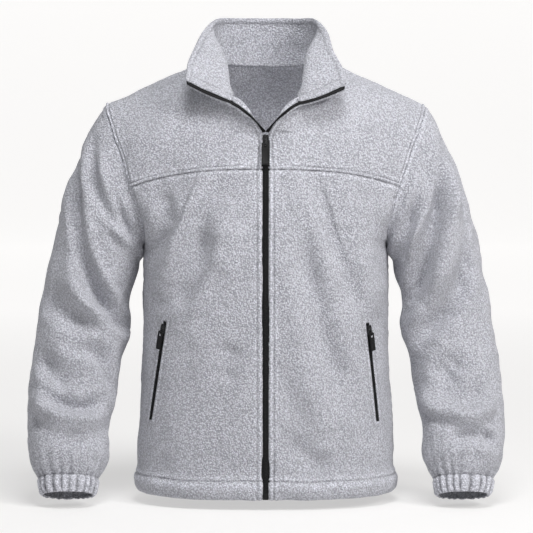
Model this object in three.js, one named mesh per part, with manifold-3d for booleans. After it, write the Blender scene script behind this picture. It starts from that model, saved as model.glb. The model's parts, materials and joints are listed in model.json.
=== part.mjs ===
// Fleece zip jacket, filled out with nobody in it. Millimetres, +Z up, the front faces -Y,
// the wearer's left side is +X. The origin is midway between the two points where the
// shoulder seams meet the neck seam.
import * as THREE from "three";
import { mergeVertices } from "three/addons/utils/BufferGeometryUtils.js";
import Module from "manifold-3d";

const wasm = await Module();
wasm.setup();

// ---------- driving sizes ----------
const CLOTH = 2.2; // one layer of fleece
const DOUBLE = 3.0; // turned hem and two-layer collar
const SEAM_GAP = 0.4; // between sewn pieces
const SHOULDER_X = 254; // shoulder point, from the centre
const NECK_X = 98; // where the shoulder seam meets the neck seam
const SHOULDER_DROP = 70.5;
const SHOULDER_ROUND = 190; // how fast the chest rounds over the shoulder seam
const CHEST_POWER = 2.4;
const YOKE_Z = -167.5; // yoke seam at the zip
const YOKE_DROP = 29.3; // and how far it falls to the armhole
const UNDERARM_Z = -290;
const HEM_TOP = -656;
const HEM_BOTTOM = -686;
const FRONT_EDGE = 5.6; // from the centre line to the cloth beside the zip
const ZIP_START = -112; // where the zip parts
const GATHERS = 21; // round each cuff
const CUFF_SPLIT = 4; // points on the cuff for each point on the sleeve's end
const GATHER_DEPTH = 1.3;

// body sections: half width, depth of the armhole's edge, front and back depth, fullness
const TORSO = [
  { z: -686, half: 204, hole: 0, front: 126, back: 122, q: 0.43 },
  { z: -680, half: 208.5, hole: 0, front: 129.5, back: 125, q: 0.43 },
  { z: -670, half: 210, hole: 0, front: 131, back: 126.5, q: 0.43 },
  { z: -660, half: 208.5, hole: 0, front: 129.5, back: 125, q: 0.43 },
  { z: -655, half: 206.5, hole: 0, front: 127.5, back: 123, q: 0.43 },
  { z: -610, half: 205, hole: 0, front: 129, back: 124, q: 0.43 },
  { z: -560, half: 202, hole: 0, front: 131, back: 124, q: 0.43 },
  { z: -480, half: 197, hole: 0, front: 133, back: 123, q: 0.43 },
  { z: -400, half: 195, hole: 0, front: 135, back: 127, q: 0.43 },
  { z: -330, half: 195.5, hole: 0, front: 136, back: 133, q: 0.43 },
  { z: -290, half: 195, hole: 0, front: 136, back: 137, q: 0.44 },
  { z: -284, half: 194, hole: 22, front: 136, back: 138, q: 0.445 },
  { z: -270, half: 193, hole: 42, front: 135, back: 139, q: 0.455 },
  { z: -250, half: 195, hole: 58, front: 134, back: 141, q: 0.47 },
  { z: -225, half: 201, hole: 68, front: 132, back: 142, q: 0.49 },
  { z: -197, half: 210, hole: 72, front: 129, back: 142, q: 0.52 },
  { z: -165, half: 221, hole: 74, front: 126, back: 141, q: 0.56 },
  { z: -130, half: 234, hole: 76, front: 121, back: 139, q: 0.61 },
  { z: -100, half: 245, hole: 77, front: 117, back: 136, q: 0.66 },
  { z: -70, half: 254, hole: 74, front: 111, back: 131, q: 0.75 },
  { z: -40, half: 254, hole: 70, front: 105, back: 124, q: 0.78 },
  { z: 0, half: 254, hole: 62, front: 96, back: 116, q: 0.8 },
  { z: 60, half: 254, hole: 60, front: 86, back: 110, q: 0.8 },
];
// rows of the body's grid, by their height at the side
const LOWER_ROWS = [-686, -680, -670, -660, -655, -612, -568, -524, -480, -436, -394,
  -354, -320, -290, -282, -268, -246, -221, -197];
const YOKE_ROWS = 9;
const FRONT_COLUMNS = [0, 0.05, 0.12, 0.22, 0.33, 0.44, 0.55, 0.66, 0.77, 0.88, 1];

// the open front edge from the zip up to the neck seam (+X side), and the roll beside it
const OPEN_EDGE = [
  { x: 5.6, y: -118.6, z: -112, rx: 12, ry: -118.4, rz: -112 },
  { x: 12, y: -124, z: -99, rx: 11, ry: -118.5, rz: -94.5 },
  { x: 28, y: -126, z: -79, rx: 23, ry: -116, rz: -71 },
];
// collar columns from the front edge round to the centre back: seam, middle, top edge
const COLLAR = [
  { nx: 51, ny: -121, nz: -63, mx: 86, my: -124, mz: -53, tx: 123, ty: -112, tz: -37 },
  { nx: 53, ny: -102, nz: -50, mx: 78, my: -104, mz: -37, tx: 121, ty: -92, tz: -11 },
  { nx: 64, ny: -76, nz: -35, mx: 68, my: -72, mz: -6, tx: 110, ty: -62, tz: 18 },
  { nx: 79, ny: -52, nz: -23, mx: 70, my: -42, mz: 12, tx: 100, ty: -34, tz: 42 },
  { nx: 88, ny: -31, nz: -13, mx: 80, my: -15, mz: 24, tx: 90, ty: -5, tz: 56 },
  { nx: 98, ny: 0, nz: 0, mx: 90, my: 6, mz: 33, tx: 83, ty: 14, tz: 64 },
  { nx: 90, ny: 28, nz: -1, mx: 85, my: 29, mz: 33, tx: 76, ty: 31, tz: 67 },
  { nx: 70, ny: 54, nz: -3, mx: 67, my: 53, mz: 32, tx: 61, ty: 49, tz: 67 },
  { nx: 38, ny: 71, nz: -6, mx: 37, my: 70, mz: 31, tx: 34, ty: 64, tz: 67 },
  { nx: 0, ny: 78, nz: -7, mx: 0, my: 77, mz: 30, tx: 0, ty: 70, tz: 67 },
];
const COLLAR_ROWS = 6;

// sleeve sections by length along the arm: outer and inner point, half depth, centre, tilt
const ARM = [
  { s: 0, ox: 254, oz: -70.5, ix: 195, iz: -290, deep: 74, y: 0, tilt: 0 },
  { s: 20, ox: 273, oz: -99, ix: 198, iz: -300, deep: 73, y: 0, tilt: 0 },
  { s: 44, ox: 288, oz: -133, ix: 200.5, iz: -310, deep: 72, y: 1, tilt: 0 },
  { s: 72, ox: 305.5, oz: -174, ix: 203, iz: -322, deep: 70, y: 2, tilt: 0 },
  { s: 104, ox: 321.7, oz: -222, ix: 205.5, iz: -336, deep: 69, y: 3, tilt: 1 },
  { s: 138, ox: 334, oz: -270, ix: 210, iz: -352, deep: 67, y: 4, tilt: 2 },
  { s: 174, ox: 344.2, oz: -318, ix: 216.3, iz: -374, deep: 66, y: 4, tilt: 3 },
  { s: 208, ox: 354.4, oz: -366, ix: 219.3, iz: -394.5, deep: 65, y: 3, tilt: 5 },
  { s: 235, ox: 360.4, oz: -398, ix: 217.3, iz: -414.5, deep: 64, y: 1, tilt: 7 },
  { s: 268, ox: 367.3, oz: -438, ix: 220.2, iz: -440, deep: 62, y: -4, tilt: 10 },
  { s: 308, ox: 372.9, oz: -477.5, ix: 230.9, iz: -477.5, deep: 60, y: -12, tilt: 14 },
  { s: 348, ox: 377.3, oz: -516.5, ix: 237.5, iz: -514.5, deep: 58, y: -23, tilt: 17 },
  { s: 388, ox: 378.5, oz: -555, ix: 244.1, iz: -553, deep: 57, y: -35, tilt: 18 },
  { s: 429, ox: 378.8, oz: -593.7, ix: 250.5, iz: -593.7, deep: 57, y: -48, tilt: 18 },
  { s: 461, ox: 377.2, oz: -624.4, ix: 250.1, iz: -624.4, deep: 55, y: -58, tilt: 18 },
  { s: 482, ox: 369.9, oz: -644.6, ix: 256.8, iz: -644.6, deep: 48, y: -64, tilt: 18 },
  { s: 498, ox: 359.7, oz: -659.9, ix: 266.5, iz: -659.9, deep: 40, y: -69, tilt: 18 },
  { s: 508, ox: 359.5, oz: -668, ix: 266.7, iz: -668, deep: 41, y: -72, tilt: 18 },
  { s: 519, ox: 358, oz: -678, ix: 268, iz: -678, deep: 40, y: -75, tilt: 18 },
  { s: 527, ox: 353.2, oz: -685, ix: 272.1, iz: -685, deep: 37, y: -78, tilt: 18 },
];
const SLEEVE_ROWS = [0, 22, 46, 72, 98, 124, 150, 176, 202, 228, 254, 282, 312, 342, 372,
  400, 424, 448, 468, 484, 498];
const CUFF_ROWS = [498, 506, 516, 527];
const ARM_POWER = 0.909;

// folds: depth (minus is a trough) and width, then points. Sleeves: share of the way round
// from the outer line over the front to the inner line (past 1 is the back), mm along.
const SLEEVE_FOLDS = {
  right: [
    { deep: -5, wide: 12, points: [[0.24, 39], [0.45, 60], [0.69, 40]] },
    { deep: -7, wide: 15, points: [[0.1, 72], [0.31, 103], [0.45, 150], [0.59, 200], [0.72, 239], [0.92, 252]] },
    { deep: -4, wide: 15, points: [[0.15, 217], [0.39, 241], [0.52, 261]] },
    { deep: -4, wide: 15, points: [[0.2, 307], [0.38, 343], [0.5, 365]] },
    { deep: -4, wide: 13, points: [[0.46, 292], [0.64, 307], [0.86, 362]] },
    { deep: -4, wide: 11, points: [[0.39, 386], [0.55, 396], [0.74, 390]] },
    { deep: 6, wide: 13, points: [[0.21, 374], [0.39, 402], [0.55, 415], [0.8, 406]] },
    { deep: 4, wide: 11, points: [[0.3, 34], [0.52, 52], [0.7, 62]] },
    { deep: 4, wide: 13, points: [[0.13, 48], [0.37, 91], [0.51, 140], [0.74, 191]] },
    { deep: 5, wide: 13, points: [[0.36, 174], [0.48, 207], [0.73, 243]] },
    { deep: -5, wide: 16, points: [[1.9, 60], [1.65, 120], [1.4, 190], [1.15, 235]] },
    { deep: 5, wide: 15, points: [[1.85, 120], [1.6, 180], [1.3, 240]] },
    { deep: -6, wide: 15, points: [[1.8, 330], [1.5, 380], [1.2, 370]] },
    { deep: 6, wide: 13, points: [[1.8, 395], [1.5, 415], [1.2, 400]] },
  ],
  left: [
    { deep: -5, wide: 11, points: [[0.34, 30], [0.47, 50], [0.62, 50]] },
    { deep: -7, wide: 14, points: [[0.33, 61], [0.47, 90], [0.62, 145], [0.78, 188]] },
    { deep: -7, wide: 15, points: [[0.3, 176], [0.41, 202], [0.56, 245], [0.75, 278]] },
    { deep: 4, wide: 11, points: [[0.41, 40], [0.66, 84]] },
    { deep: 6, wide: 15, points: [[0.21, 67], [0.4, 122], [0.58, 201]] },
    { deep: -5, wide: 15, points: [[0.48, 325], [0.57, 335], [0.57, 361]] },
    { deep: 6, wide: 13, points: [[0.83, 384], [0.59, 406], [0.46, 410], [0.26, 392]] },
    { deep: -4, wide: 10, points: [[0.61, 447], [0.47, 436], [0.25, 447]] },
    { deep: -5, wide: 16, points: [[1.85, 90], [1.6, 150], [1.35, 210], [1.15, 240]] },
    { deep: 5, wide: 15, points: [[1.9, 150], [1.65, 205], [1.35, 260]] },
    { deep: -6, wide: 15, points: [[1.75, 340], [1.45, 375], [1.2, 365]] },
    { deep: 6, wide: 13, points: [[1.75, 400], [1.5, 418], [1.25, 405]] },
  ],
};
// body: points in x and z, on the front or the back
const BODY_FOLDS = [
  { side: -1, deep: -4, wide: 13, points: [[-158, -200], [-155, -266], [-168, -300]] },
  { side: -1, deep: 4, wide: 14, points: [[-140, -270], [-170, -350]] },
  { side: -1, deep: -5, wide: 17, points: [[-94, -262], [-108, -314], [-124, -357], [-150, -380]] },
  { side: -1, deep: 4, wide: 22, points: [[-74, -254], [-66, -334]] },
  { side: -1, deep: -3, wide: 20, points: [[-50, -440], [-66, -505]] },
  { side: -1, deep: -5, wide: 18, points: [[56, -267], [78, -361], [102, -457], [122, -512]] },
  { side: -1, deep: 4, wide: 18, points: [[136, -256], [156, -334], [172, -384]] },
  { side: -1, deep: -4, wide: 14, points: [[131, -300], [143, -376]] },
  { side: -1, deep: 4, wide: 24, points: [[48, -445], [72, -530], [104, -585]] },
  { side: -1, deep: -4, wide: 18, points: [[39, -590], [64, -620], [105, -640]] },
  { side: 1, deep: -5, wide: 22, points: [[-60, -300], [-75, -400], [-60, -500]] },
  { side: 1, deep: -5, wide: 20, points: [[70, -280], [90, -390], [75, -520]] },
  { side: 1, deep: 4, wide: 24, points: [[5, -330], [0, -450], [15, -560]] },
  { side: 1, deep: -4, wide: 20, points: [[-130, -430], [-90, -520], [-40, -570]] },
  { side: 1, deep: -4, wide: 18, points: [[140, -430], [100, -540]] },
];

// ---------- small helpers ----------
const add = (a, b, k = 1) => [a[0] + b[0] * k, a[1] + b[1] * k, a[2] + b[2] * k];
const sub = (a, b) => add(a, b, -1);
const len = (a) => Math.hypot(a[0], a[1], a[2]);
const unit = (a) => { const l = len(a) || 1; return [a[0] / l, a[1] / l, a[2] / l]; };
const cross = (a, b) => [a[1] * b[2] - a[2] * b[1], a[2] * b[0] - a[0] * b[2], a[0] * b[1] - a[1] * b[0]];
const dot = (a, b) => a[0] * b[0] + a[1] * b[1] + a[2] * b[2];
const mix = (a, b, t) => a.map((v, i) => v + (b[i] - v) * t);
const clamp = (v, a, b) => Math.min(b, Math.max(a, v));

// a row between the rows of a table, by a smooth curve through them
function between(table, key, at) {
  let i = 0;
  while (i < table.length - 2 && table[i + 1][key] < at) i++;
  const a = table[i], b = table[i + 1], h = b[key] - a[key];
  const t = clamp((at - a[key]) / h, 0, 1);
  const made = {};
  for (const k of Object.keys(a)) {
    const slope = (j) => {
      if (j <= 0 || j >= table.length - 1) return (b[k] - a[k]) / h;
      const l = (table[j][k] - table[j - 1][k]) / (table[j][key] - table[j - 1][key]);
      const r = (table[j + 1][k] - table[j][k]) / (table[j + 1][key] - table[j][key]);
      return l * r <= 0 ? 0 : (2 * l * r) / (l + r);
    };
    const m0 = slope(i) * h, m1 = slope(i + 1) * h, t2 = t * t, t3 = t2 * t;
    made[k] = (2 * t3 - 3 * t2 + 1) * a[k] + (t3 - 2 * t2 + t) * m0 + (3 * t2 - 2 * t3) * b[k] + (t3 - t2) * m1;
  }
  made[key] = at;
  return made;
}

// distance from a point to a broken line, both in millimetres
function away(u, v, line) {
  let best = 1e9;
  for (let i = 1; i < line.length; i++) {
    const [ax, ay] = line[i - 1], [bx, by] = line[i];
    const dx = bx - ax, dy = by - ay;
    const t = clamp(((u - ax) * dx + (v - ay) * dy) / (dx * dx + dy * dy), 0, 1);
    best = Math.min(best, Math.hypot(u - ax - t * dx, v - ay - t * dy));
  }
  return best;
}

// ---------- the body's surface ----------
const shoulderZ = (sine) => (-SHOULDER_DROP * (SHOULDER_X * sine - NECK_X)) / (SHOULDER_X - NECK_X);
function bodyDepth(sine, z, side) {
  const s = between(TORSO, "z", z);
  const full = side < 0 ? s.front : s.back;
  const bow = Math.pow(Math.max(0, 1 - Math.pow(Math.min(1, sine), CHEST_POWER)), s.q);
  const t = clamp((shoulderZ(sine) - z) / SHOULDER_ROUND, 0, 1);
  const edge = s.hole * Math.min(1, sine) ** (3 * clamp((-120 - z) / 80, 0, 1));
  return Math.sqrt(1 - (1 - t) * (1 - t)) * (edge + (full - edge) * bow);
}
const halfAt = (z) => between(TORSO, "z", z).half;
const bodyPoint = (angle, z, side) => [
  halfAt(z) * Math.sin(angle), side * bodyDepth(Math.sin(Math.abs(angle)), z, side), z];
const yokeZ = (sine) => YOKE_Z - YOKE_DROP * Math.pow(sine, 2.6);
const armRow = (j) => -SHOULDER_DROP - (197 - SHOULDER_DROP) * ((YOKE_ROWS - j) / YOKE_ROWS) ** 2;

function bodyFold(p, side) {
  let made = 0;
  for (const f of BODY_FOLDS) {
    if (f.side !== side) continue;
    const d = away(p[0], p[2], f.points) / f.wide;
    if (d < 3) made += f.deep * Math.exp(-d * d);
  }
  // folds die out at the side seams and armholes
  const turn = Math.acos(Math.min(1, Math.abs(p[0]) / halfAt(p[2])));
  return made * clamp(turn / 0.3, 0, 1) * clamp((-150 - p[2]) / 60, 0, 1);
}

// grids hold rows of points on the outer face; each is { name, rows, wrap, thick }
const grids = [];
function grid(name, rows, colour, options = {}) {
  const made = { name, rows, colour, wrap: false, thick: () => CLOTH, lift: null, ...options };
  grids.push(made);
  return made;
}

const FLEECE = 0xb4b4bb;
const mirrored = (rows) => rows.map((r) => r.map((p) => [-p[0], p[1], p[2]]));

// front below the yoke, +X side; columns run from the zip to the side
function lowerFront() {
  return LOWER_ROWS.map((zr) => FRONT_COLUMNS.map((u) => {
    const first = Math.asin(FRONT_EDGE / halfAt(zr));
    const angle = first + (Math.PI / 2 - first) * u;
    const rise = clamp((zr + 410) / (410 - 197), 0, 1);
    const z = zr + rise * (yokeZ(Math.sin(angle)) + 197);
    return bodyPoint(angle, Math.min(z, -FRONT_EDGE), -1);
  }));
}

// yoke, +X side: bottom row is the yoke seam, top row the shoulder seam
function yoke() {
  const open = OPEN_EDGE.map((e) => ({ p: [e.x, e.y, e.z], roll: [e.rx, e.ry, e.rz] }));
  const neck = COLLAR.slice(0, 6).map((c, i) => ({
    p: [c.nx, c.ny, c.nz], roll: i ? null : [50, -112, -56] }));
  const start = bodyPoint(Math.asin(FRONT_EDGE / halfAt(YOKE_Z)), YOKE_Z, -1);
  const edge = [{ p: start, roll: null }, ...open, ...neck];
  const toZeta = (angle, z) => Math.sqrt(Math.max(0, shoulderZ(Math.sin(angle)) - z) / 150);
  const left = edge.map((e) => {
    const angle = Math.asin(e.p[0] / halfAt(e.p[2]));
    return { angle, zeta: toZeta(angle, e.p[2]), lift: e.p[1] + bodyDepth(Math.sin(angle), e.p[2], -1) };
  });
  const n = YOKE_ROWS;
  const right = left.map((_, j) => ({ angle: Math.PI / 2, zeta: toZeta(Math.PI / 2, armRow(j)) }));
  return left.map((l, j) => FRONT_COLUMNS.map((u, i) => {
    if (i === 0) return edge[j].p;
    if (i === 1 && edge[j].roll) return edge[j].roll;
    const v = j / n, r = right[j];
    const a0 = left[0].angle + (Math.PI / 2 - left[0].angle) * u;
    const a1 = left[n].angle + (Math.PI / 2 - left[n].angle) * u;
    const bottom = { angle: a0, zeta: toZeta(a0, yokeZ(Math.sin(a0))) };
    const top = { angle: a1, zeta: 0 };
    const coons = (k) => (1 - v) * bottom[k] + v * top[k] + (1 - u) * l[k] + u * r[k]
      - (1 - u) * (1 - v) * left[0][k] - u * (1 - v) * right[0][k] - (1 - u) * v * left[n][k] - u * v * right[n][k];
    const angle = clamp(coons("angle"), 0, Math.PI / 2);
    const z = shoulderZ(Math.sin(angle)) - 150 * Math.max(0, coons("zeta")) ** 2;
    const p = bodyPoint(angle, z, -1);
    p[1] += l.lift * Math.pow(1 - u, edge[j].roll ? 9 : 5);
    return p;
  }));
}

// back, one piece from side to side: neck columns in the middle, shoulder columns outside
const BACK_SHOULDER = 6;
function backPiece() {
  const neck = COLLAR.slice(5).map((c) => [c.nx, c.ny, c.nz]); // shoulder seam to centre back
  const neckAngle = Math.asin(NECK_X / SHOULDER_X);
  const half = [];
  for (let i = 0; i < BACK_SHOULDER; i++) {
    const angle = Math.PI / 2 + ((neckAngle - Math.PI / 2) * i) / BACK_SHOULDER;
    half.push({ angle, top: shoulderZ(Math.sin(angle)), y: 0 });
  }
  for (const p of neck) half.push({ angle: Math.asin(p[0] / SHOULDER_X), top: p[2], y: p[1] });
  const heights = [...LOWER_ROWS];
  for (let j = 1; j <= YOKE_ROWS; j++) heights.push(armRow(j));
  const columns = [...half, ...half.slice(0, -1).reverse().map((c) => ({ ...c, mirror: true }))];
  return heights.map((zr) => columns.map((c, i) => {
    const w = Math.pow(clamp((zr + 330) / (330 - SHOULDER_DROP), 0, 1), 1.2);
    const even = (Math.PI / 2) * (1 - Math.min(i, columns.length - 1 - i) / (half.length - 1));
    const angle = even + (c.angle - even) * w;
    const z = zr + (c.top + SHOULDER_DROP) * w;
    const p = bodyPoint(angle, z, 1);
    p[1] += (c.y - (c.y ? bodyDepth(Math.sin(c.angle), c.top, 1) : 0)) * w ** 4;
    if (c.mirror) p[0] = -p[0];
    return p;
  }));
}

// ---------- sleeves ----------
// the armhole, from the shoulder over the front to the underarm and up the back (+X side)
const ARM_ZS = [];
for (let j = YOKE_ROWS; j > 0; j--) ARM_ZS.push(armRow(j));
for (let i = LOWER_ROWS.length - 1; LOWER_ROWS[i] >= UNDERARM_Z; i--) ARM_ZS.push(LOWER_ROWS[i]);
const HOLE = [
  ...ARM_ZS.map((z) => bodyPoint(Math.PI / 2, z, -1)),
  ...ARM_ZS.slice(1, -1).reverse().map((z) => bodyPoint(Math.PI / 2, z, 1)),
];
// the way round a section, 0 at the outer line, 1 at the inner line over the front, 2 back
function shareOf(z) {
  const a = (z + SHOULDER_DROP) / (UNDERARM_Z + SHOULDER_DROP);
  const c = clamp(1 - 2 * a, -1, 1);
  return Math.acos(Math.sign(c) * Math.pow(Math.abs(c), 1 / ARM_POWER)) / Math.PI;
}
const WAYS = [...ARM_ZS.map(shareOf), ...ARM_ZS.slice(1, -1).reverse().map((z) => 2 - shareOf(z))];
const power = (v) => Math.sign(v) * Math.pow(Math.abs(v), ARM_POWER);
function armSection(s, way) {
  const r = between(ARM, "s", s), turn = way * Math.PI, tilt = (r.tilt * Math.PI) / 180;
  const c = power(Math.cos(turn)), d = power(Math.sin(turn)) * r.deep;
  return [(r.ox + r.ix) / 2 + ((r.ox - r.ix) / 2) * c, r.y - d * Math.cos(tilt),
    (r.oz + r.iz) / 2 + ((r.oz - r.iz) / 2) * c + d * Math.sin(tilt)];
}
const BLEND = 70; // the sleeve's head eases from the armhole's curve to plain sections
function armPoint(s, j) {
  const p = armSection(s, WAYS[j]);
  const w = Math.pow(clamp(1 - s / BLEND, 0, 1), 1.5);
  return w ? add(p, sub(HOLE[j], armSection(0, WAYS[j])), w) : p;
}
const ROUND_MM = 215; // half way round a sleeve
function sleeveFold(side, way, s) {
  const ease = clamp(s / 30, 0, 1) * clamp((498 - s) / 30, 0, 1);
  let made = 0;
  for (const f of SLEEVE_FOLDS[side]) {
    const d = away(way * ROUND_MM, s, f.points.map(([a, b]) => [a * ROUND_MM, b])) / f.wide;
    if (d < 3) made += f.deep * Math.exp(-d * d);
  }
  return made * ease;
}

// ---------- the pieces' outer faces ----------
const hemThick = (p) => (p[2] < HEM_TOP - 2 ? DOUBLE : CLOTH);
const lower = lowerFront();
const upper = yoke();
grid("front_left", lower, FLEECE, { side: -1, thick: hemThick });
grid("front_right", mirrored(lower), FLEECE, { side: -1, thick: hemThick, turned: true });
grid("yoke_left", upper, FLEECE, { side: -1 });
grid("yoke_right", mirrored(upper), FLEECE, { side: -1, turned: true });
grid("back", backPiece(), FLEECE, { side: 1, thick: hemThick, turned: false });
for (const side of ["left", "right"]) {
  const rows = SLEEVE_ROWS.map((s) => WAYS.map((_, j) => armPoint(s, j)));
  const lift = SLEEVE_ROWS.map((s) => WAYS.map((way) => sleeveFold(side, way, s)));
  grid("sleeve_" + side, side === "left" ? rows : mirrored(rows), FLEECE,
    { wrap: true, lift, turned: side === "right" });
}
{
  const n = COLLAR.length;
  const rows = [];
  for (let i = 0; i <= COLLAR_ROWS; i++) {
    const v = i / COLLAR_ROWS;
    const side = COLLAR.map((c) => {
      const a = [c.nx, c.ny, c.nz], m = [c.mx, c.my, c.mz], b = [c.tx, c.ty, c.tz];
      return a.map((_, k) => a[k] * (1 - v) * (1 - 2 * v) + m[k] * 4 * v * (1 - v) + b[k] * v * (2 * v - 1));
    });
    rows.push([...side, ...side.slice(0, n - 1).reverse().map((p) => [-p[0], p[1], p[2]])]);
  }
  grid("collar", rows, FLEECE, { thick: (p, i) => (i ? DOUBLE : CLOTH) });
}
// cuffs start on the sleeve's last ring, with more points, and carry the gathers
for (const side of ["left", "right"]) {
  const top = WAYS.map((_, j) => armPoint(498, j));
  const rows = CUFF_ROWS.map((s, i) => {
    const ring = [];
    for (let j = 0; j < WAYS.length; j++) for (let k = 0; k < CUFF_SPLIT; k++) {
      const j2 = (j + 1) % WAYS.length, t = k / CUFF_SPLIT;
      if (i === 0) { ring.push(mix(top[j], top[j2], t)); continue; }
      const way = WAYS[j] + ((j2 ? WAYS[j2] : 2) - WAYS[j]) * t;
      const p = armSection(s, way), c = armSection(s, 0), d = armSection(s, 1);
      const out = unit(sub(p, mix(c, d, 0.5)));
      const deep = i === CUFF_ROWS.length - 1 ? 0.6 : GATHER_DEPTH;
      ring.push(add(p, out, deep * Math.cos(2 * Math.PI * GATHERS * ((j + t) / WAYS.length))));
    }
    return ring;
  });
  grid("cuff_" + side, side === "left" ? rows : mirrored(rows), FLEECE,
    { wrap: true, turned: side === "right" });
}

// ---------- normals shared across the seams, then walls ----------
function faces(g) {
  const made = [], nr = g.rows.length, nc = g.rows[0].length;
  for (let i = 0; i < nr - 1; i++) for (let j = 0; j < (g.wrap ? nc : nc - 1); j++) {
    const j2 = (j + 1) % nc;
    const quad = [[i, j], [i, j2], [i + 1, j2], [i + 1, j]];
    made.push([quad[0], quad[1], quad[2]], [quad[0], quad[2], quad[3]]);
  }
  return g.turned ? made.map(([a, b, c]) => [a, c, b]) : made;
}
const known = []; // one entry for each place, so pieces that meet there share a normal
function keyOf(p) {
  for (let i = 0; i < known.length; i++) {
    const k = known[i];
    if (Math.abs(k[0] - p[0]) < 0.02 && Math.abs(k[1] - p[1]) < 0.02 && Math.abs(k[2] - p[2]) < 0.02) return i;
  }
  return known.push(p) - 1;
}
function sharedNormals() {
  const sums = new Map();
  known.length = 0;
  for (const g of grids) for (const f of faces(g)) {
    const [a, b, c] = f.map(([i, j]) => g.rows[i][j]);
    const n = cross(sub(b, a), sub(c, a));
    for (const p of [a, b, c]) {
      const k = keyOf(p);
      sums.set(k, add(sums.get(k) || [0, 0, 0], n));
    }
  }
  for (const g of grids) g.normals = g.rows.map((r) => r.map((p) => {
    const n = unit(sums.get(keyOf(p)));
    if (Math.abs(p[1]) < 0.01) return unit([n[0], 0, n[2]]);
    return g.side < 0 && Math.abs(p[0]) < FRONT_EDGE + 0.5 ? unit([0, n[1], n[2]]) : n;
  }));
}
// the neck seam's normals are shared by the collar, the yokes and the back as they stand
sharedNormals();
for (const g of grids) {
  const height = (p, i, j) => (g.lift ? g.lift[i][j] : g.side ? bodyFold(p, g.side) : 0);
  g.folded = g.rows.map((r, i) => r.map((p, j) => add(p, g.normals[i][j], height(p, i, j))));
}
for (const g of grids) g.rows = g.folded;
sharedNormals();
// every piece is drawn back a little from its seams
for (const g of grids) {
  const nr = g.rows.length, nc = g.rows[0].length, base = g.rows;
  g.rows = base.map((r, i) => r.map((p, j) => {
    let q = p;
    const pull = (o) => { q = add(q, unit(sub(o, p)), SEAM_GAP / 2); };
    if (i === 0) pull(base[1][j]);
    if (i === nr - 1) pull(base[nr - 2][j]);
    if (!g.wrap && j === 0) pull(base[i][1]);
    if (!g.wrap && j === nc - 1) pull(base[i][nc - 2]);
    return q;
  }));
}

function meshOf(name, points, triangles, colour, roughness = 0.95, metalness = 0) {
  const geometry = new THREE.BufferGeometry();
  geometry.setAttribute("position", new THREE.BufferAttribute(new Float32Array(points.flat()), 3));
  geometry.setIndex(triangles.flat());
  geometry.computeVertexNormals();
  const mesh = new THREE.Mesh(geometry, new THREE.MeshStandardMaterial({ color: colour, roughness, metalness }));
  mesh.name = name;
  return mesh;
}

// a closed wall from an outer and an inner grid of points
function wall(name, outer, inner, wrap, turned, colour, roughness) {
  const nr = outer.length, nc = outer[0].length, points = [...outer.flat(), ...inner.flat()];
  const o = (i, j) => i * nc + (j % nc), n = (i, j) => nr * nc + i * nc + (j % nc);
  const tri = [];
  const quad = (a, b, c, d) => tri.push([a, b, c], [a, c, d]);
  const last = wrap ? nc : nc - 1;
  for (let i = 0; i < nr - 1; i++) for (let j = 0; j < last; j++) {
    quad(o(i, j), o(i, j + 1), o(i + 1, j + 1), o(i + 1, j));
    tri.push([n(i, j), n(i + 1, j + 1), n(i, j + 1)], [n(i, j), n(i + 1, j), n(i + 1, j + 1)]);
  }
  for (let j = 0; j < last; j++) {
    quad(o(0, j), n(0, j), n(0, j + 1), o(0, j + 1));
    quad(n(nr - 1, j + 1), n(nr - 1, j), o(nr - 1, j), o(nr - 1, j + 1));
  }
  if (!wrap) for (let i = 0; i < nr - 1; i++) {
    quad(o(i, 0), o(i + 1, 0), n(i + 1, 0), n(i, 0));
    quad(o(i + 1, nc - 1), o(i, nc - 1), n(i, nc - 1), n(i + 1, nc - 1));
  }
  return meshOf(name, points, turned ? tri.map(([a, b, c]) => [a, c, b]) : tri, colour, roughness);
}

const jacket = new THREE.Group();
jacket.name = "fleece_zip_jacket";
for (const g of grids) {
  const inner = g.rows.map((r, i) => r.map((p, j) => add(p, g.normals[i][j], -g.thick(p, i))));
  jacket.add(wall(g.name, g.rows, inner, g.wrap, g.turned, g.colour));
}

// ---------- zips ----------
const BLACK = 0x1c1c1e;
const TAPE = 2; // thickness of the closed chain
// the closed front zip: a strip down the middle, flush with the cloth
{
  const zs = [-684];
  for (const z of LOWER_ROWS.slice(1, -1)) zs.push(z);
  zs.push(-200, YOKE_Z, -140, ZIP_START - 1.2);
  const outer = zs.map((z) => [-1, 0, 1].map((k) => [k * 5.2, -bodyDepth(0.01, z, -1), z]));
  const inner = outer.map((r) => r.map((p) => [p[0], p[1] + TAPE, p[2]]));
  jacket.add(wall("zip_chain", outer, inner, false, false, BLACK, 0.5));
}
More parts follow.
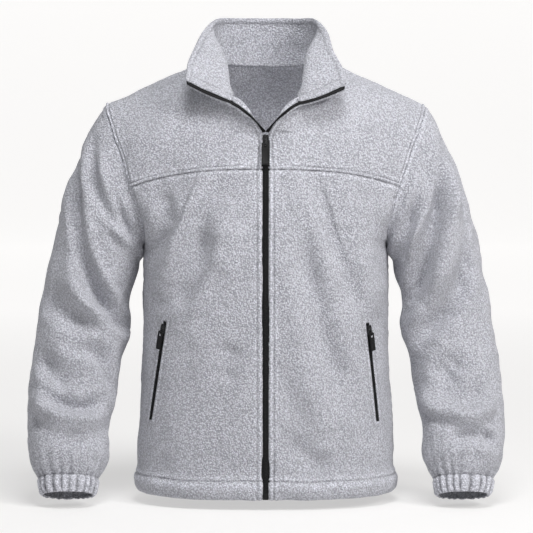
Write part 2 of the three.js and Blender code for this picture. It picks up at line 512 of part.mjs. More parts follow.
// the open halves, along the front edge and the collar's end to the top corner
const ZIP_EDGE = 4.4; // width of an open half
for (const side of ["left", "right"]) {
  const sign = side === "left" ? 1 : -1;
  const c0 = COLLAR[0];
  const column = [0, 0.25, 0.5, 0.75, 0.97].map((v) => {
    const a = [c0.nx, c0.ny, c0.nz], m = [c0.mx, c0.my, c0.mz], b = [c0.tx, c0.ty, c0.tz];
    return a.map((_, k) => a[k] * (1 - v) * (1 - 2 * v) + m[k] * 4 * v * (1 - v) + b[k] * v * (2 * v - 1));
  });
  const path = [...OPEN_EDGE.map((e) => [e.x, e.y, e.z]), ...column];
  const out = [[-1, -0.05, 0], [-0.45, -0.85, -0.25], [0.3, -0.75, -0.6], [0.1, -0.6, -0.8],
    [0.08, -0.55, -0.84], [0.1, -0.5, -0.86], [0.12, -0.48, -0.87], [0.15, -0.45, -0.88]].map(unit);
  const outer = [], inner = [];
  path.forEach((p, i) => {
    const along = unit(sub(path[Math.min(i + 1, path.length - 1)], path[Math.max(i - 1, 0)]));
    const n = unit(cross(out[i], along));
    const base = add(p, out[i], 0.9);
    const strip = [0, 0.5, 1].map((t) => add(base, out[i], t * ZIP_EDGE));
    outer.push(strip.map((q) => add(q, n, 0.2)));
    inner.push(strip.map((q) => add(q, n, -1.8)));
  });
  const flip = (rows) => rows.map((r) => r.map((p) => [p[0] * sign, p[1], p[2]]));
  jacket.add(wall("zip_edge_" + side, flip(outer), flip(inner), false, sign < 0, BLACK, 0.5));
}

// a point on a piece's outer face straight in front of x, z, and the face's normal there
function onPiece(g, x, z) {
  for (const f of faces(g)) {
    const [a, b, c] = f.map(([i, j]) => g.rows[i][j]);
    const d = (b[0] - a[0]) * (c[2] - a[2]) - (c[0] - a[0]) * (b[2] - a[2]);
    if (Math.abs(d) < 1e-9) continue;
    const u = ((x - a[0]) * (c[2] - a[2]) - (c[0] - a[0]) * (z - a[2])) / d;
    const v = ((b[0] - a[0]) * (z - a[2]) - (x - a[0]) * (b[2] - a[2])) / d;
    if (u < -1e-6 || v < -1e-6 || u + v > 1 + 1e-6) continue;
    const n = unit(cross(sub(b, a), sub(c, a)));
    return { p: [x, a[1] + u * (b[1] - a[1]) + v * (c[1] - a[1]), z], n: n[1] > 0 ? n.map((q) => -q) : n };
  }
  throw new Error("no panel in front of " + x + ", " + z);
}

// pocket zips lie on the fronts: top and bottom of each, from the centre line
const POCKETS = {
  left: { tx: 160, tz: -411, bx: 177, bz: -568 },
  right: { tx: -158, tz: -409, bx: -182, bz: -566 },
};
const POCKET_ZIP = 5, POCKET_LIFT = 0.5, POCKET_TAPE = 1.4;

// slider and tab shapes; local axes: x across, y outward, z up along the zip
function bodyOf(mesh) {
  const g = mesh.geometry.clone();
  g.deleteAttribute("normal");
  g.deleteAttribute("uv");
  const m = mergeVertices(g.applyMatrix4(mesh.matrix), 1e-4);
  return new wasm.Manifold(new wasm.Mesh({ numProp: 3,
    vertProperties: new Float32Array(m.attributes.position.array), triVerts: new Uint32Array(m.index.array) }));
}
function extruded(shape, depth, place) {
  const mesh = new THREE.Mesh(new THREE.ExtrudeGeometry(shape, { depth, bevelEnabled: false, curveSegments: 5 }));
  place(mesh);
  mesh.updateMatrix();
  return mesh;
}
function outline(width, low, high, corner) {
  const w = width / 2, s = new THREE.Shape();
  s.moveTo(-w + corner, low);
  s.lineTo(w - corner, low);
  s.quadraticCurveTo(w, low, w, low + corner);
  s.lineTo(w, high - corner);
  s.quadraticCurveTo(w, high, w - corner, high);
  s.lineTo(-w + corner, high);
  s.quadraticCurveTo(-w, high, -w, high - corner);
  s.lineTo(-w, low + corner);
  s.quadraticCurveTo(-w, low, -w + corner, low);
  return s;
}
const SLIDER = { plate: 3, axis: 4.6, bar: 1.4, inner: 1.6, grip: 0.9 };
// plate with an arched bail; the pull's cross bar lies in the arch, on the x axis at z = 0
function sliderMesh(name, width, down, up) {
  const plate = extruded(outline(width, -down, up, width * 0.3), SLIDER.plate, (m) => { m.rotation.x = Math.PI / 2; m.position.y = SLIDER.plate; });
  const o = SLIDER.inner + SLIDER.bar, t = SLIDER.axis;
  const arch = new THREE.Shape();
  arch.moveTo(-o, -0.1 + SLIDER.plate - 0.4);
  arch.lineTo(-o, t + o - 1);
  arch.quadraticCurveTo(-o, t + o, -o + 1, t + o);
  arch.lineTo(o + 0.6, t + o);
  arch.quadraticCurveTo(o + 2, t + o, o + 2, t + o - 1.6);
  arch.lineTo(o + 2, SLIDER.plate - 0.5);
  arch.closePath();
  const hole = new THREE.Path();
  hole.moveTo(-SLIDER.inner, SLIDER.plate + 0.02);
  hole.lineTo(SLIDER.inner + 0.8, SLIDER.plate + 0.02);
  hole.lineTo(SLIDER.inner + 0.8, t + SLIDER.inner);
  hole.lineTo(-SLIDER.inner, t + SLIDER.inner);
  hole.closePath();
  arch.holes.push(hole);
  // the arch's outline is drawn in z and y, and extruded across
  const bail = extruded(arch, 3.2, () => {});
  bail.matrix.set(0, 0, -1, 1.6, 0, 1, 0, 0, 1, 0, 0, 0, 0, 0, 0, 1);
  const made = bodyOf(plate).add(bodyOf(bail)).getMesh();
  return meshOf(name, chunk(made.vertProperties), chunk(made.triVerts), BLACK, 0.35, 0.2);
}
function chunk(flat) {
  const made = [];
  for (let i = 0; i < flat.length; i += 3) made.push([flat[i], flat[i + 1], flat[i + 2]]);
  return made;
}
function pullMesh(name, width, length) {
  const s = outline(width, -length, SLIDER.grip, Math.min(2, SLIDER.grip + 1));
  const hole = new THREE.Path();
  hole.moveTo(-2.3, -SLIDER.grip);
  hole.lineTo(2.3, -SLIDER.grip);
  hole.lineTo(2.3, -6.6);
  hole.lineTo(-2.3, -6.6);
  hole.closePath();
  s.holes.push(hole);
  const m = extruded(s, 1.8, (q) => { q.rotation.x = Math.PI / 2; q.position.y = SLIDER.axis + 0.9; });
  const made = bodyOf(m).getMesh();
  return meshOf(name, chunk(made.vertProperties), chunk(made.triVerts), BLACK, 0.4, 0);
}
// stands a slider and its pull on the zip at p: up along the zip, out from the cloth
export const hinges = {};
function fit(key, slider, pull, p, up, out) {
  const z = unit(up), y = unit(sub(out, z.map((v) => v * dot(out, z)))), x = cross(y, z);
  const m = new THREE.Matrix4().set(x[0], y[0], z[0], p[0], x[1], y[1], z[1], p[1], x[2], y[2], z[2], p[2], 0, 0, 0, 1);
  for (const mesh of [slider, pull]) {
    mesh.applyMatrix4(m);
    jacket.add(mesh);
  }
  hinges[key] = { at: add(p, y, SLIDER.axis), axis: x };
}
// main slider: its pull hangs in front of the closed zip
{
  const z = -127.5, a = [0, -bodyDepth(0.01, z - 12, -1), z - 12], b = [0, -bodyDepth(0.01, z + 6, -1), z + 6];
  const up = sub(b, a), out = [0, -1, 0];
  const p = add(mix(a, b, 12 / 18), unit([0, -1, -up[1] / up[2]]), 0.9);
  fit("main_pull", sliderMesh("zip_slider", 9.6, 4.5, 13.5), pullMesh("main_pull", 12.4, 34), p, up, out);
}
for (const side of ["left", "right"]) {
  const k = POCKETS[side], g = grids.find((q) => q.name === "front_" + side);
  const steps = 16, outer = [], inner = [];
  const across = unit([k.tz - k.bz, 0, -(k.tx - k.bx)]);
  for (let i = 0; i <= steps; i++) {
    const c = [k.bx + ((k.tx - k.bx) * i) / steps, 0, k.bz + ((k.tz - k.bz) * i) / steps];
    const row = [-0.5, 0, 0.5].map((t) => add(c, across, t * POCKET_ZIP)).map((q) => onPiece(g, q[0], q[2]));
    const n = unit(row.reduce((s, q) => add(s, q.n), [0, 0, 0]));
    inner.push(row.map((q) => add(q.p, n, POCKET_LIFT)));
    outer.push(row.map((q) => add(q.p, n, POCKET_LIFT + POCKET_TAPE)));
  }
  jacket.add(wall("pocket_zip_" + side, outer, inner, false, false, BLACK, 0.5));
  const at = 14.4, i = Math.floor(at), t = at - i;
  const mid = mix(outer[i][1], outer[i + 1][1], t);
  const up = sub(outer[16][1], outer[11][1]);
  const n = unit(sub(outer[i][1], inner[i][1]));
  fit("pocket_pull_" + side, sliderMesh("pocket_slider_" + side, 6.4, 4.5, 13),
    pullMesh("pocket_pull_" + side, 8.8, 28), add(mid, n, 0.8), up, n);
}

export default jacket;
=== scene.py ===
# %% [markdown]
# # A fleece jacket with a front zip
# This lesson dresses a fixed model of a fleece jacket that stands filled out with nobody in it.
# The model gives plain walls of cloth. Here each wall is made again as soft fleece, with its
# creases, seams and stitches, and the zips get their teeth, sliders and tabs. All sizes are
# written in millimetres, and a piece is scaled to metres when its mesh is made. Up is +Z,
# the front faces -Y, and the wearer's left side is +X.

# %% Load the fixed model and keep its box
import json
import math

import bpy
import numpy as np
from mathutils import Matrix, Vector
from mathutils.bvhtree import BVHTree


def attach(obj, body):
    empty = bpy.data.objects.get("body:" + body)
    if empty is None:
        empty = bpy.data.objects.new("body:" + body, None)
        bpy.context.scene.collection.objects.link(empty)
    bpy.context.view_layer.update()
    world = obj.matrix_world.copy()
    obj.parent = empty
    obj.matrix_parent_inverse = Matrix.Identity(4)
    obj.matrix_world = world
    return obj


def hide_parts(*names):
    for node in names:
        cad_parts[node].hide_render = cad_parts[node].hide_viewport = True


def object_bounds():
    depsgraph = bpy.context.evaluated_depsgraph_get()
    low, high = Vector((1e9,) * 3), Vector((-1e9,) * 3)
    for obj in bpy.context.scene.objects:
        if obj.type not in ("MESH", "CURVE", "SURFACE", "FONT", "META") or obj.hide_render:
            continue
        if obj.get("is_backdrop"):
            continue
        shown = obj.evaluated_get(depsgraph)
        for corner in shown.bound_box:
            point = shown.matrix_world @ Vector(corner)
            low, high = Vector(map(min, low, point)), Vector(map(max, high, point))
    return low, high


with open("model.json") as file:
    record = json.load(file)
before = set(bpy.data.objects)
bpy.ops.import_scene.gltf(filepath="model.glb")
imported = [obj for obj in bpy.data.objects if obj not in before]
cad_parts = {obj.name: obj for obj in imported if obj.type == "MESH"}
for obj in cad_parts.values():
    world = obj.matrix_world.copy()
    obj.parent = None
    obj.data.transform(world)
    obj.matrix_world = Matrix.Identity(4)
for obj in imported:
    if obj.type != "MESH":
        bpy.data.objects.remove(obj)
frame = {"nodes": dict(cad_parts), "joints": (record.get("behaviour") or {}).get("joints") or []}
CAD_BOX = [list(corner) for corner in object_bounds()]
MM = 0.001
print("the model's box in metres:", [[round(v, 4) for v in corner] for corner in CAD_BOX])

# %% [markdown]
# ## Camera, floor and light
# The picture was taken from straight in front, about five metres away and looking down four
# degrees, through a long lens. A long lens far away keeps the two sides of the jacket alike.
# The floor is a large pale plate that curves up far behind, as in a photographer's studio,
# so no horizon shows. One big soft lamp stands at the right, as the brighter right side says.

# %% The camera
CAMERA_TILT = math.radians(4)
CAMERA_DISTANCE = 5.0
LOOK_HEIGHT = -0.328
camera_data = bpy.data.cameras.new("camera")
camera = bpy.data.objects.new("camera", camera_data)
bpy.context.scene.collection.objects.link(camera)
camera_data.sensor_width = 36
camera_data.lens = 211.07
camera.location = (0.0013, -CAMERA_DISTANCE * math.cos(CAMERA_TILT),
                   LOOK_HEIGHT + CAMERA_DISTANCE * math.sin(CAMERA_TILT))
camera.rotation_euler = (math.pi / 2 - CAMERA_TILT, 0, 0)
camera_data.clip_start = 0.1
camera_data.clip_end = 60
bpy.context.scene.camera = camera


# %% A helper for materials, and the pale floor
def new_material(name):
    made = bpy.data.materials.new(name)
    made.use_nodes = True
    nodes = made.node_tree.nodes
    return made, nodes, made.node_tree.links, nodes["Principled BSDF"]


def link(links, source, output, target, socket):
    links.new(source.outputs[output], target.inputs[socket])


def set_inputs(node, values):
    for socket, value in values.items():
        node.inputs[socket].default_value = value
    return node


def two_colours(nodes, low, dark, high, light):
    """A ramp from a dark colour at low to a light colour at high."""
    ramp = nodes.new("ShaderNodeValToRGB")
    for element, place, colour in zip(ramp.color_ramp.elements, (low, high), (dark, light)):
        element.position = place
        element.color = (*colour, 1)
    return ramp


FLOOR_Z = -0.7035
paint, nodes, links, shader = new_material("studio_floor")
set_inputs(shader, {"Base Color": (0.4, 0.398, 0.395, 1), "Roughness": 0.9,
                    "Specular IOR Level": 0.1, "Emission Color": (1, 0.99, 0.98, 1)})
# the far floor is out of the lamps' reach, so its own glow grows towards the back
floor_place = nodes.new("ShaderNodeTexCoord")
floor_axes = nodes.new("ShaderNodeSeparateXYZ")
glow_range = set_inputs(nodes.new("ShaderNodeMapRange"),
                        {"From Min": 0.3, "From Max": 3.6, "To Min": 0.5, "To Max": 0.75})
link(links, floor_place, "Object", floor_axes, 0)
link(links, floor_axes, "Y", glow_range, "Value")
link(links, glow_range, "Result", shader, "Emission Strength")
FLOOR_HALF, FLOOR_BACK, FLOOR_BEND, WALL_TOP = 9.0, 6.4, 1.2, 6.0
profile = [(-FLOOR_HALF, 0), (FLOOR_BACK, 0)]
for step in range(1, 13):
    turn = step / 12 * math.pi / 2
    profile.append((FLOOR_BACK + FLOOR_BEND * math.sin(turn), FLOOR_BEND - FLOOR_BEND * math.cos(turn)))
profile.append((FLOOR_BACK + FLOOR_BEND, WALL_TOP))
floor_points = [(x, y, FLOOR_Z + z) for y, z in profile for x in (-FLOOR_HALF, FLOOR_HALF)]
floor_faces = [(2 * i, 2 * i + 1, 2 * i + 3, 2 * i + 2) for i in range(len(profile) - 1)]
floor_mesh = bpy.data.meshes.new("studio_floor")
floor_mesh.from_pydata(floor_points, [], floor_faces)
floor_mesh.polygons.foreach_set("use_smooth", [True] * len(floor_faces))
floor_mesh.materials.append(paint)
floor = bpy.data.objects.new("studio_floor", floor_mesh)
bpy.context.scene.collection.objects.link(floor)
floor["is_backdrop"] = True


# %% Soft lamps and the room's own light
def new_lamp(name, kind, place, aim, watts):
    data = bpy.data.lights.new(name, kind)
    data.energy = watts
    lamp = bpy.data.objects.new(name, data)
    lamp.location = place
    lamp.rotation_euler = (Vector(aim) - Vector(place)).to_track_quat("-Z", "Y").to_euler()
    bpy.context.scene.collection.objects.link(lamp)
    return data


def soft_lamp(name, place, aim, size, watts, colour):
    data = new_lamp(name, "AREA", place, aim, watts)
    data.shape = "RECTANGLE"
    data.size, data.size_y = size
    data.color = colour


CHEST = (0, 0, -0.3)
soft_lamp("key_lamp", (2.3, -2.4, 1.6), CHEST, (1.1, 1.1), 84, (1, 0.985, 0.97))
soft_lamp("high_lamp", (0.2, -1.7, 2.5), CHEST, (1.2, 1.0), 78, (1, 1, 1))
soft_lamp("fill_lamp", (-1.2, -4.2, 0.5), CHEST, (1.6, 1.6), 6, (0.95, 0.97, 1))
# a narrow lamp at the neck shows the inside of the back, as in the picture
spot = new_lamp("neck_lamp", "SPOT", (-0.3, -3.2, 0.35), (0, 0.1, -0.045), 150)
spot.spot_size = math.radians(5.5)
spot.spot_blend = 1
spot.shadow_soft_size = 0.2
# light comes through real fleece, so a faint lamp inside the jacket lifts its inner side
glow = new_lamp("inner_lamp", "POINT", (0, -0.02, -0.21), (0, 0, 1), 0.42)
glow.shadow_soft_size = 0.04
world = bpy.data.worlds.new("studio")
bpy.context.scene.world = world
world.use_nodes = True
set_inputs(world.node_tree.nodes["Background"], {"Color": (0.96, 0.97, 1, 1), "Strength": 0.2})
bpy.context.scene.view_settings.view_transform = "Standard"
print("camera, floor and", len(bpy.data.lights), "lamps are in place")

# %% [markdown]
# ## Curves through points
# Every panel here starts as a net of guide points, as a pattern cutter's blocks do. A smooth
# curve is drawn through each row and each column of the net, and sampled as finely as needed.
# A cubic curve that passes through its points is chosen over a subdivided mesh, because it
# keeps every guide point where it is, and panels that share a seam share its points too.


# %% Curves and spacing
def smooth_through(values, knots, at):
    """A cubic curve through values, which stand at knots, sampled at the places in at."""
    values, knots, at = np.asarray(values, float), np.asarray(knots, float), np.asarray(at, float)
    shape = (-1,) + (1,) * (values.ndim - 1)
    gap = np.diff(knots)
    rise = np.diff(values, axis=0) / gap.reshape(shape)
    slope = np.empty_like(values)
    before, after = gap[:-1].reshape(shape), gap[1:].reshape(shape)
    slope[1:-1] = (after * rise[:-1] + before * rise[1:]) / (before + after)
    slope[0] = 1.5 * rise[0] - 0.5 * slope[1]
    slope[-1] = 1.5 * rise[-1] - 0.5 * slope[-2]
    return hermite(values, slope, knots, gap, at, shape)


def hermite(values, slope, knots, gap, at, shape):
    """The cubic curve between the knots, from its values and slopes there."""
    i = np.clip(np.searchsorted(knots, at, side="right") - 1, 0, len(knots) - 2)
    t, h = ((at - knots[i]) / gap[i]).reshape(shape), gap[i].reshape(shape)
    return ((2 * t**3 - 3 * t**2 + 1) * values[i] + (t**3 - 2 * t**2 + t) * h * slope[i]
            + (3 * t**2 - 2 * t**3) * values[i + 1] + (t**3 - t**2) * h * slope[i + 1])


def steady_through(table, at):
    """All columns of a table at heights given for its first one, without overshoot."""
    table, at = np.asarray(table, float), np.atleast_1d(np.asarray(at, float))
    knots, values = table[:, 0], table[:, 1:]
    gap = np.diff(knots)
    rise = np.diff(values, axis=0) / gap[:, None]
    slope = np.empty_like(values)
    slope[0], slope[-1] = rise[0], rise[-1]
    product, total = rise[:-1] * rise[1:], rise[:-1] + rise[1:]
    slope[1:-1] = np.where(product > 0, 2 * product / np.where(total == 0, 1, total), 0)
    flat = np.clip(at.ravel(), knots[0], knots[-1])
    return hermite(values, slope, knots, gap, flat, (-1, 1)).reshape(at.shape + (-1,))


def bent_through(low, middle, high, v):
    """A simple bend through three points, at v = 0, a half and 1."""
    return low * (1 - v) * (1 - 2 * v) + middle * 4 * v * (1 - v) + high * v * (2 * v - 1)


def chords(points):
    """How far along each point of a line is."""
    steps = np.linalg.norm(np.diff(np.asarray(points, float), axis=0), axis=-1)
    return np.concatenate([[0], np.cumsum(steps)])


def read_at(at, knots, points):
    """Points of a line at the places in at, straight from each knot to the next."""
    return np.stack([np.interp(at, knots, points[:, k]) for k in range(3)], -1)


def graded(length, fine, coarse, marks, reach=12):
    """Places from 0 to length, fine near the marks and coarse elsewhere."""
    places = [0.0]
    while places[-1] < length:
        near = min(max(0.0, abs(places[-1] - mark) - spread) for mark, spread in marks)
        places.append(places[-1] + fine + (coarse - fine) * min(1, near / reach))
    return np.array(places) * length / places[-1]


def ripple(points, wavelength, seed, waves=14):
    """Soft uneven waves of about the given length, from -2 to 2, the same on each run."""
    draw = np.random.default_rng(seed)
    total = np.zeros(points.shape[:-1])
    for _ in range(waves):
        way = draw.normal(size=3)
        way *= 2 * math.pi / (wavelength * draw.uniform(0.7, 1.5) * np.linalg.norm(way))
        total += np.sin(points @ way + draw.uniform(0, 2 * math.pi))
    return total / math.sqrt(waves / 2)


QUICK = 1.0
print("a net is sampled every", 3 * QUICK, "mm, and more finely along seams")

# %% [markdown]
# ## The shape of the body
# The body is drawn as sections, one for each height: how wide it is, and how deep at the
# front and the back. The numbers are the model's own, so the fleece lies where its walls do.

# %% Sizes and sections of the body
SHOULDER_X, NECK_X, SHOULDER_DROP, SHOULDER_ROUND = 254, 98, 70.5, 190
YOKE_Z, YOKE_DROP, UNDERARM_Z, FRONT_EDGE = -167.5, 29.3, -290, 5.6
CHEST_POWER, YOKE_ROWS, YOKE_FALL = 2.4, 9, 150
# height, half width, depth of the armhole's edge, front depth, back depth, fullness
TORSO = [
    (-686, 204, 0, 126, 122, 0.43), (-680, 208.5, 0, 129.5, 125, 0.43),
    (-670, 210, 0, 131, 126.5, 0.43), (-660, 208.5, 0, 129.5, 125, 0.43),
    (-655, 206.5, 0, 127.5, 123, 0.43), (-610, 205, 0, 129, 124, 0.43),
    (-560, 202, 0, 131, 124, 0.43), (-480, 197, 0, 133, 123, 0.43),
    (-400, 195, 0, 135, 127, 0.43), (-330, 195.5, 0, 136, 133, 0.43),
    (-290, 195, 0, 136, 137, 0.44), (-284, 194, 22, 136, 138, 0.445),
    (-270, 193, 42, 135, 139, 0.455), (-250, 195, 58, 134, 141, 0.47),
    (-225, 201, 68, 132, 142, 0.49), (-197, 210, 72, 129, 142, 0.52),
    (-165, 221, 74, 126, 141, 0.56), (-130, 234, 76, 121, 139, 0.61),
    (-100, 245, 77, 117, 136, 0.66), (-70, 254, 74, 111, 131, 0.75),
    (-40, 254, 70, 105, 124, 0.78), (0, 254, 62, 96, 116, 0.8), (60, 254, 60, 86, 110, 0.8)]
LOWER_ROWS = [-686, -680, -670, -660, -655, -612, -568, -524, -480, -436, -394,
              -354, -320, -290, -282, -268, -246, -221, -197]
FRONT_COLUMNS = np.array([0, 0.05, 0.08, 0.12, 0.22, 0.33, 0.44, 0.55, 0.66, 0.77, 0.88, 1])
# the open front edge on the +X side, the roll of cloth beside it, and the cloth under the roll
OPEN_EDGE = [((5.6, -118.6, -112), (12, -118.4, -112), (18, -118.2, -112.4)),
             ((12, -124, -99), (15, -123.8, -100.5), (23, -121.5, -106)),
             ((28, -126, -79), (27.6, -122, -75.5), (38, -119.5, -89))]
# collar, from its front edge round to the centre back: at the seam, half way up, at the top
COLLAR = np.array([
    ((51, -121, -63), (86, -124, -53), (123, -112, -37)),
    ((53, -102, -50), (78, -104, -37), (121, -92, -11)),
    ((64, -76, -35), (68, -72, -6), (110, -62, 18)),
    ((79, -52, -23), (70, -42, 12), (100, -34, 42)),
    ((88, -31, -13), (80, -15, 24), (90, -5, 56)),
    ((98, 0, 0), (90, 6, 33), (83, 14, 64)),
    ((90, 28, -1), (85, 29, 33), (76, 31, 67)),
    ((70, 54, -3), (67, 53, 32), (61, 49, 67)),
    ((38, 71, -6), (37, 70, 31), (34, 64, 67)),
    ((0, 78, -7), (0, 77, 30), (0, 70, 67))], float)


def shoulder_z(sine):
    return -SHOULDER_DROP * (SHOULDER_X * sine - NECK_X) / (SHOULDER_X - NECK_X)


def half_at(z):
    return steady_through(TORSO, z)[..., 0]


def body_depth(sine, z, side):
    sine, z = np.broadcast_arrays(np.minimum(1, np.atleast_1d(sine)), np.atleast_1d(z))
    section = steady_through(TORSO, z)
    hole, full, fullness = section[..., 1], section[..., 2 if side < 0 else 3], section[..., 4]
    bow = np.maximum(0, 1 - sine**CHEST_POWER) ** fullness
    t = np.clip((shoulder_z(sine) - z) / SHOULDER_ROUND, 0, 1)
    edge = hole * sine ** (3 * np.clip((-120 - z) / 80, 0, 1))
    return np.sqrt(1 - (1 - t) ** 2) * (edge + (full - edge) * bow)


def body_point(angle, z, side):
    angle, z = np.broadcast_arrays(np.atleast_1d(angle), np.atleast_1d(z))
    depth = body_depth(np.sin(np.abs(angle)), z, side)
    return np.stack([half_at(z) * np.sin(angle), side * depth, z.astype(float)], -1)


def yoke_z(sine):
    return YOKE_Z - YOKE_DROP * sine**2.6


def arm_row(j):
    return -SHOULDER_DROP - (197 - SHOULDER_DROP) * ((YOKE_ROWS - j) / YOKE_ROWS) ** 2


print("the chest is", round(2 * float(half_at(-290)[0])), "mm across")


# %% The net of the front: below the yoke seam, and the yoke above it
def lower_front_rows():
    rows = []
    for z_side in LOWER_ROWS:
        first = math.asin(FRONT_EDGE / float(half_at(z_side)[0]))
        angle = first + (math.pi / 2 - first) * FRONT_COLUMNS
        rise = min(1, max(0, (z_side + 410) / 213))
        z = z_side + rise * (yoke_z(np.sin(angle)) + 197)
        rows.append(body_point(angle, z, -1))
    return rows


def yoke_rows():
    neck = [tuple(p) for p in COLLAR[:6, 0]]
    start = body_point(math.asin(FRONT_EDGE / float(half_at(YOKE_Z)[0])), YOKE_Z, -1)[0]
    edge = [(tuple(start), None, None), *OPEN_EDGE, (neck[0], (50, -115, -57.5), (61, -109.5, -73))]
    edge += [(p, None, None) for p in neck[1:]]

    def fall_of(angle, z):
        """The root of a point's distance below the shoulder line, as rows are even in it."""
        return np.sqrt(np.maximum(0, shoulder_z(np.sin(angle)) - z) / YOKE_FALL)

    left = []
    for p, _, _ in edge:
        angle = math.asin(p[0] / float(half_at(p[2])[0]))
        lift = p[1] + float(body_depth(math.sin(angle), p[2], -1)[0])
        left.append((angle, float(fall_of(angle, p[2])), lift))
    u, quarter, rows = FRONT_COLUMNS, math.pi / 2, []
    for j, (left_a, left_fall, lift) in enumerate(left):
        v = j / YOKE_ROWS
        bottom_a = left[0][0] + (quarter - left[0][0]) * u
        top_a = left[-1][0] + (quarter - left[-1][0]) * u
        bottom = fall_of(bottom_a, yoke_z(np.sin(bottom_a)))
        arm, arm_low, arm_high = (float(fall_of(quarter, arm_row(k))) for k in (j, 0, YOKE_ROWS))

        def fill(low, high, near, far, low_near, low_far, high_near, high_far):
            """Values inside a patch, from those on its four edges and at its four corners."""
            return ((1 - v) * low + v * high + (1 - u) * near + u * far
                    - (1 - u) * (1 - v) * low_near - u * (1 - v) * low_far
                    - (1 - u) * v * high_near - u * v * high_far)

        angle = fill(bottom_a, top_a, left_a, quarter, left[0][0], quarter, left[-1][0], quarter)
        angle = np.clip(angle, 0, quarter)
        fall = fill(bottom, 0, left_fall, arm, left[0][1], arm_low, left[-1][1], arm_high)
        z = shoulder_z(np.sin(angle)) - YOKE_FALL * np.maximum(0, fall) ** 2
        row = body_point(angle, z, -1)
        row[:, 1] += lift * (1 - u) ** (9 if edge[j][1] else 5)
        row[0] = edge[j][0]
        if edge[j][1]:
            row[1:3] = edge[j][1:]
        rows.append(row)
    return rows


FRONT_NET = np.array(lower_front_rows() + yoke_rows()[1:])
SEAM_ROW = len(LOWER_ROWS) - 1
ROW_KNOTS = chords(FRONT_NET[:, -1])
print("front net:", FRONT_NET.shape[:2], "guide points; side length", round(ROW_KNOTS[-1]), "mm")


# %% The net of the back, from the +X side round to the -X side
def back_net():
    neck = COLLAR[5:, 0]
    neck_angle = math.asin(NECK_X / SHOULDER_X)
    half = []
    for i in range(6):
        angle = math.pi / 2 + (neck_angle - math.pi / 2) * i / 6
        half.append((angle, float(shoulder_z(math.sin(angle))), 0.0))
    half += [(math.asin(p[0] / SHOULDER_X), p[2], p[1]) for p in neck]
    columns = half + half[:-1][::-1]
    rows = []
    for z_side in LOWER_ROWS + [arm_row(j) for j in range(1, YOKE_ROWS + 1)]:
        w = min(1, max(0, (z_side + 330) / (330 - SHOULDER_DROP))) ** 1.2
        row = []
        for i, (angle, top, y) in enumerate(columns):
            even = math.pi / 2 * (1 - min(i, len(columns) - 1 - i) / (len(half) - 1))
            turn = even + (angle - even) * w
            p = body_point(turn, z_side + (top + SHOULDER_DROP) * w, 1)[0]
            if y:
                p[1] += (y - float(body_depth(math.sin(angle), top, 1)[0])) * w**4
            if i >= len(half):
                p[0] = -p[0]
            row.append(p)
        rows.append(row)
    return np.array(rows)


BACK_NET = back_net()
NECK_KNOTS = chords(COLLAR[:, 0])
print("back net:", BACK_NET.shape[:2], "; half the neck seam is", round(NECK_KNOTS[-1]), "mm")

# %% [markdown]
# ## Creases
# Fleece is thick and soft, so its creases are broad, with no sharp edge. Each one here is a
# line drawn on the cloth, with a depth and a width. A trough is steeper on one side, and
# pushes up a low ridge beside it, as real cloth does, and it fades out towards its ends.
# They are drawn and not simulated, because the sleeve of a filled-out jacket
# crumples where its maker turned it, and a simulation would put its creases elsewhere.


# %% A crease's depth at each point of the cloth
# how much deeper than its table says a crease is drawn, on the body and again on the arms
CREASE_DEPTH, ARM_CREASE_DEPTH = 2.3, 1.3


def crease(across, along, points, deep, wide):
    """Depth of one crease at places given in mm across and along the cloth."""
    points = np.asarray(points, float)
    knots = chords(points)
    line = smooth_through(points, knots, np.linspace(0, knots[-1], 7 * len(points)))
    place = np.stack([across, along], -1)
    best = np.full(across.shape, 1e9)
    sign, share = np.zeros(across.shape), np.zeros(across.shape)
    for i in range(len(line) - 1):
        a, step = line[i], line[i + 1] - line[i]
        t = np.clip(((place - a) @ step) / (step @ step), 0, 1)
        off = place - a - t[..., None] * step
        far = np.linalg.norm(off, axis=-1)
        near = far < best
        best = np.where(near, far, best)
        sign = np.where(near, np.sign(step[0] * off[..., 1] - step[1] * off[..., 0]), sign)
        share = np.where(near, (i + t) / (len(line) - 1), share)
    width = wide * (1 + 0.22 * sign * math.copysign(1, deep))
    d = best / width
    uneven = 0.82 + 0.25 * np.sin(share * 7 + points[0, 0]) * np.sin(share * 3.1 + 1)
    side = np.exp(-((d - 1.9) / 0.8) ** 2)
    ends = 0.35 + 0.65 * np.clip(np.minimum(share, 1 - share) / 0.16, 0, 1)
    return CREASE_DEPTH * deep * uneven * ends * (np.exp(-d * d) - 0.28 * side)


def creases(across, along, table):
    total = np.zeros(across.shape)
    for deep, wide, points in table:
        total += crease(across, along, points, deep, wide)
    return total


# %% Creases of the fronts and the back: depth, width and points in x and z
FRONT_CREASES = [
    (-4, 13, [(-158, -200), (-155, -266), (-168, -300)]),
    (4, 14, [(-140, -270), (-170, -350)]),
    (-5, 17, [(-94, -262), (-108, -314), (-124, -357), (-150, -380)]),
    (4, 22, [(-74, -254), (-66, -334)]),
    (-3, 20, [(-50, -440), (-66, -505)]),
    (-5, 18, [(56, -267), (78, -361), (102, -457), (122, -512)]),
    (4, 18, [(136, -256), (156, -334), (172, -384)]),
    (-4, 14, [(131, -300), (143, -376)]),
    (4, 24, [(48, -445), (72, -530), (104, -585)]),
    (-4, 18, [(39, -590), (64, -620), (105, -640)])]
BACK_CREASES = [
    (-5, 22, [(-60, -300), (-75, -400), (-60, -500)]),
    (-5, 20, [(70, -280), (90, -390), (75, -520)]),
    (4, 24, [(5, -330), (0, -450), (15, -560)]),
    (-4, 20, [(-130, -430), (-90, -520), (-40, -570)]),
    (-4, 18, [(140, -430), (100, -540)]),
    (-2.5, 16, [(-150, -250), (-110, -330)]),
    (-2.5, 16, [(152, -255), (118, -340)]),
    (-2, 15, [(-40, -600), (30, -620), (90, -600)])]


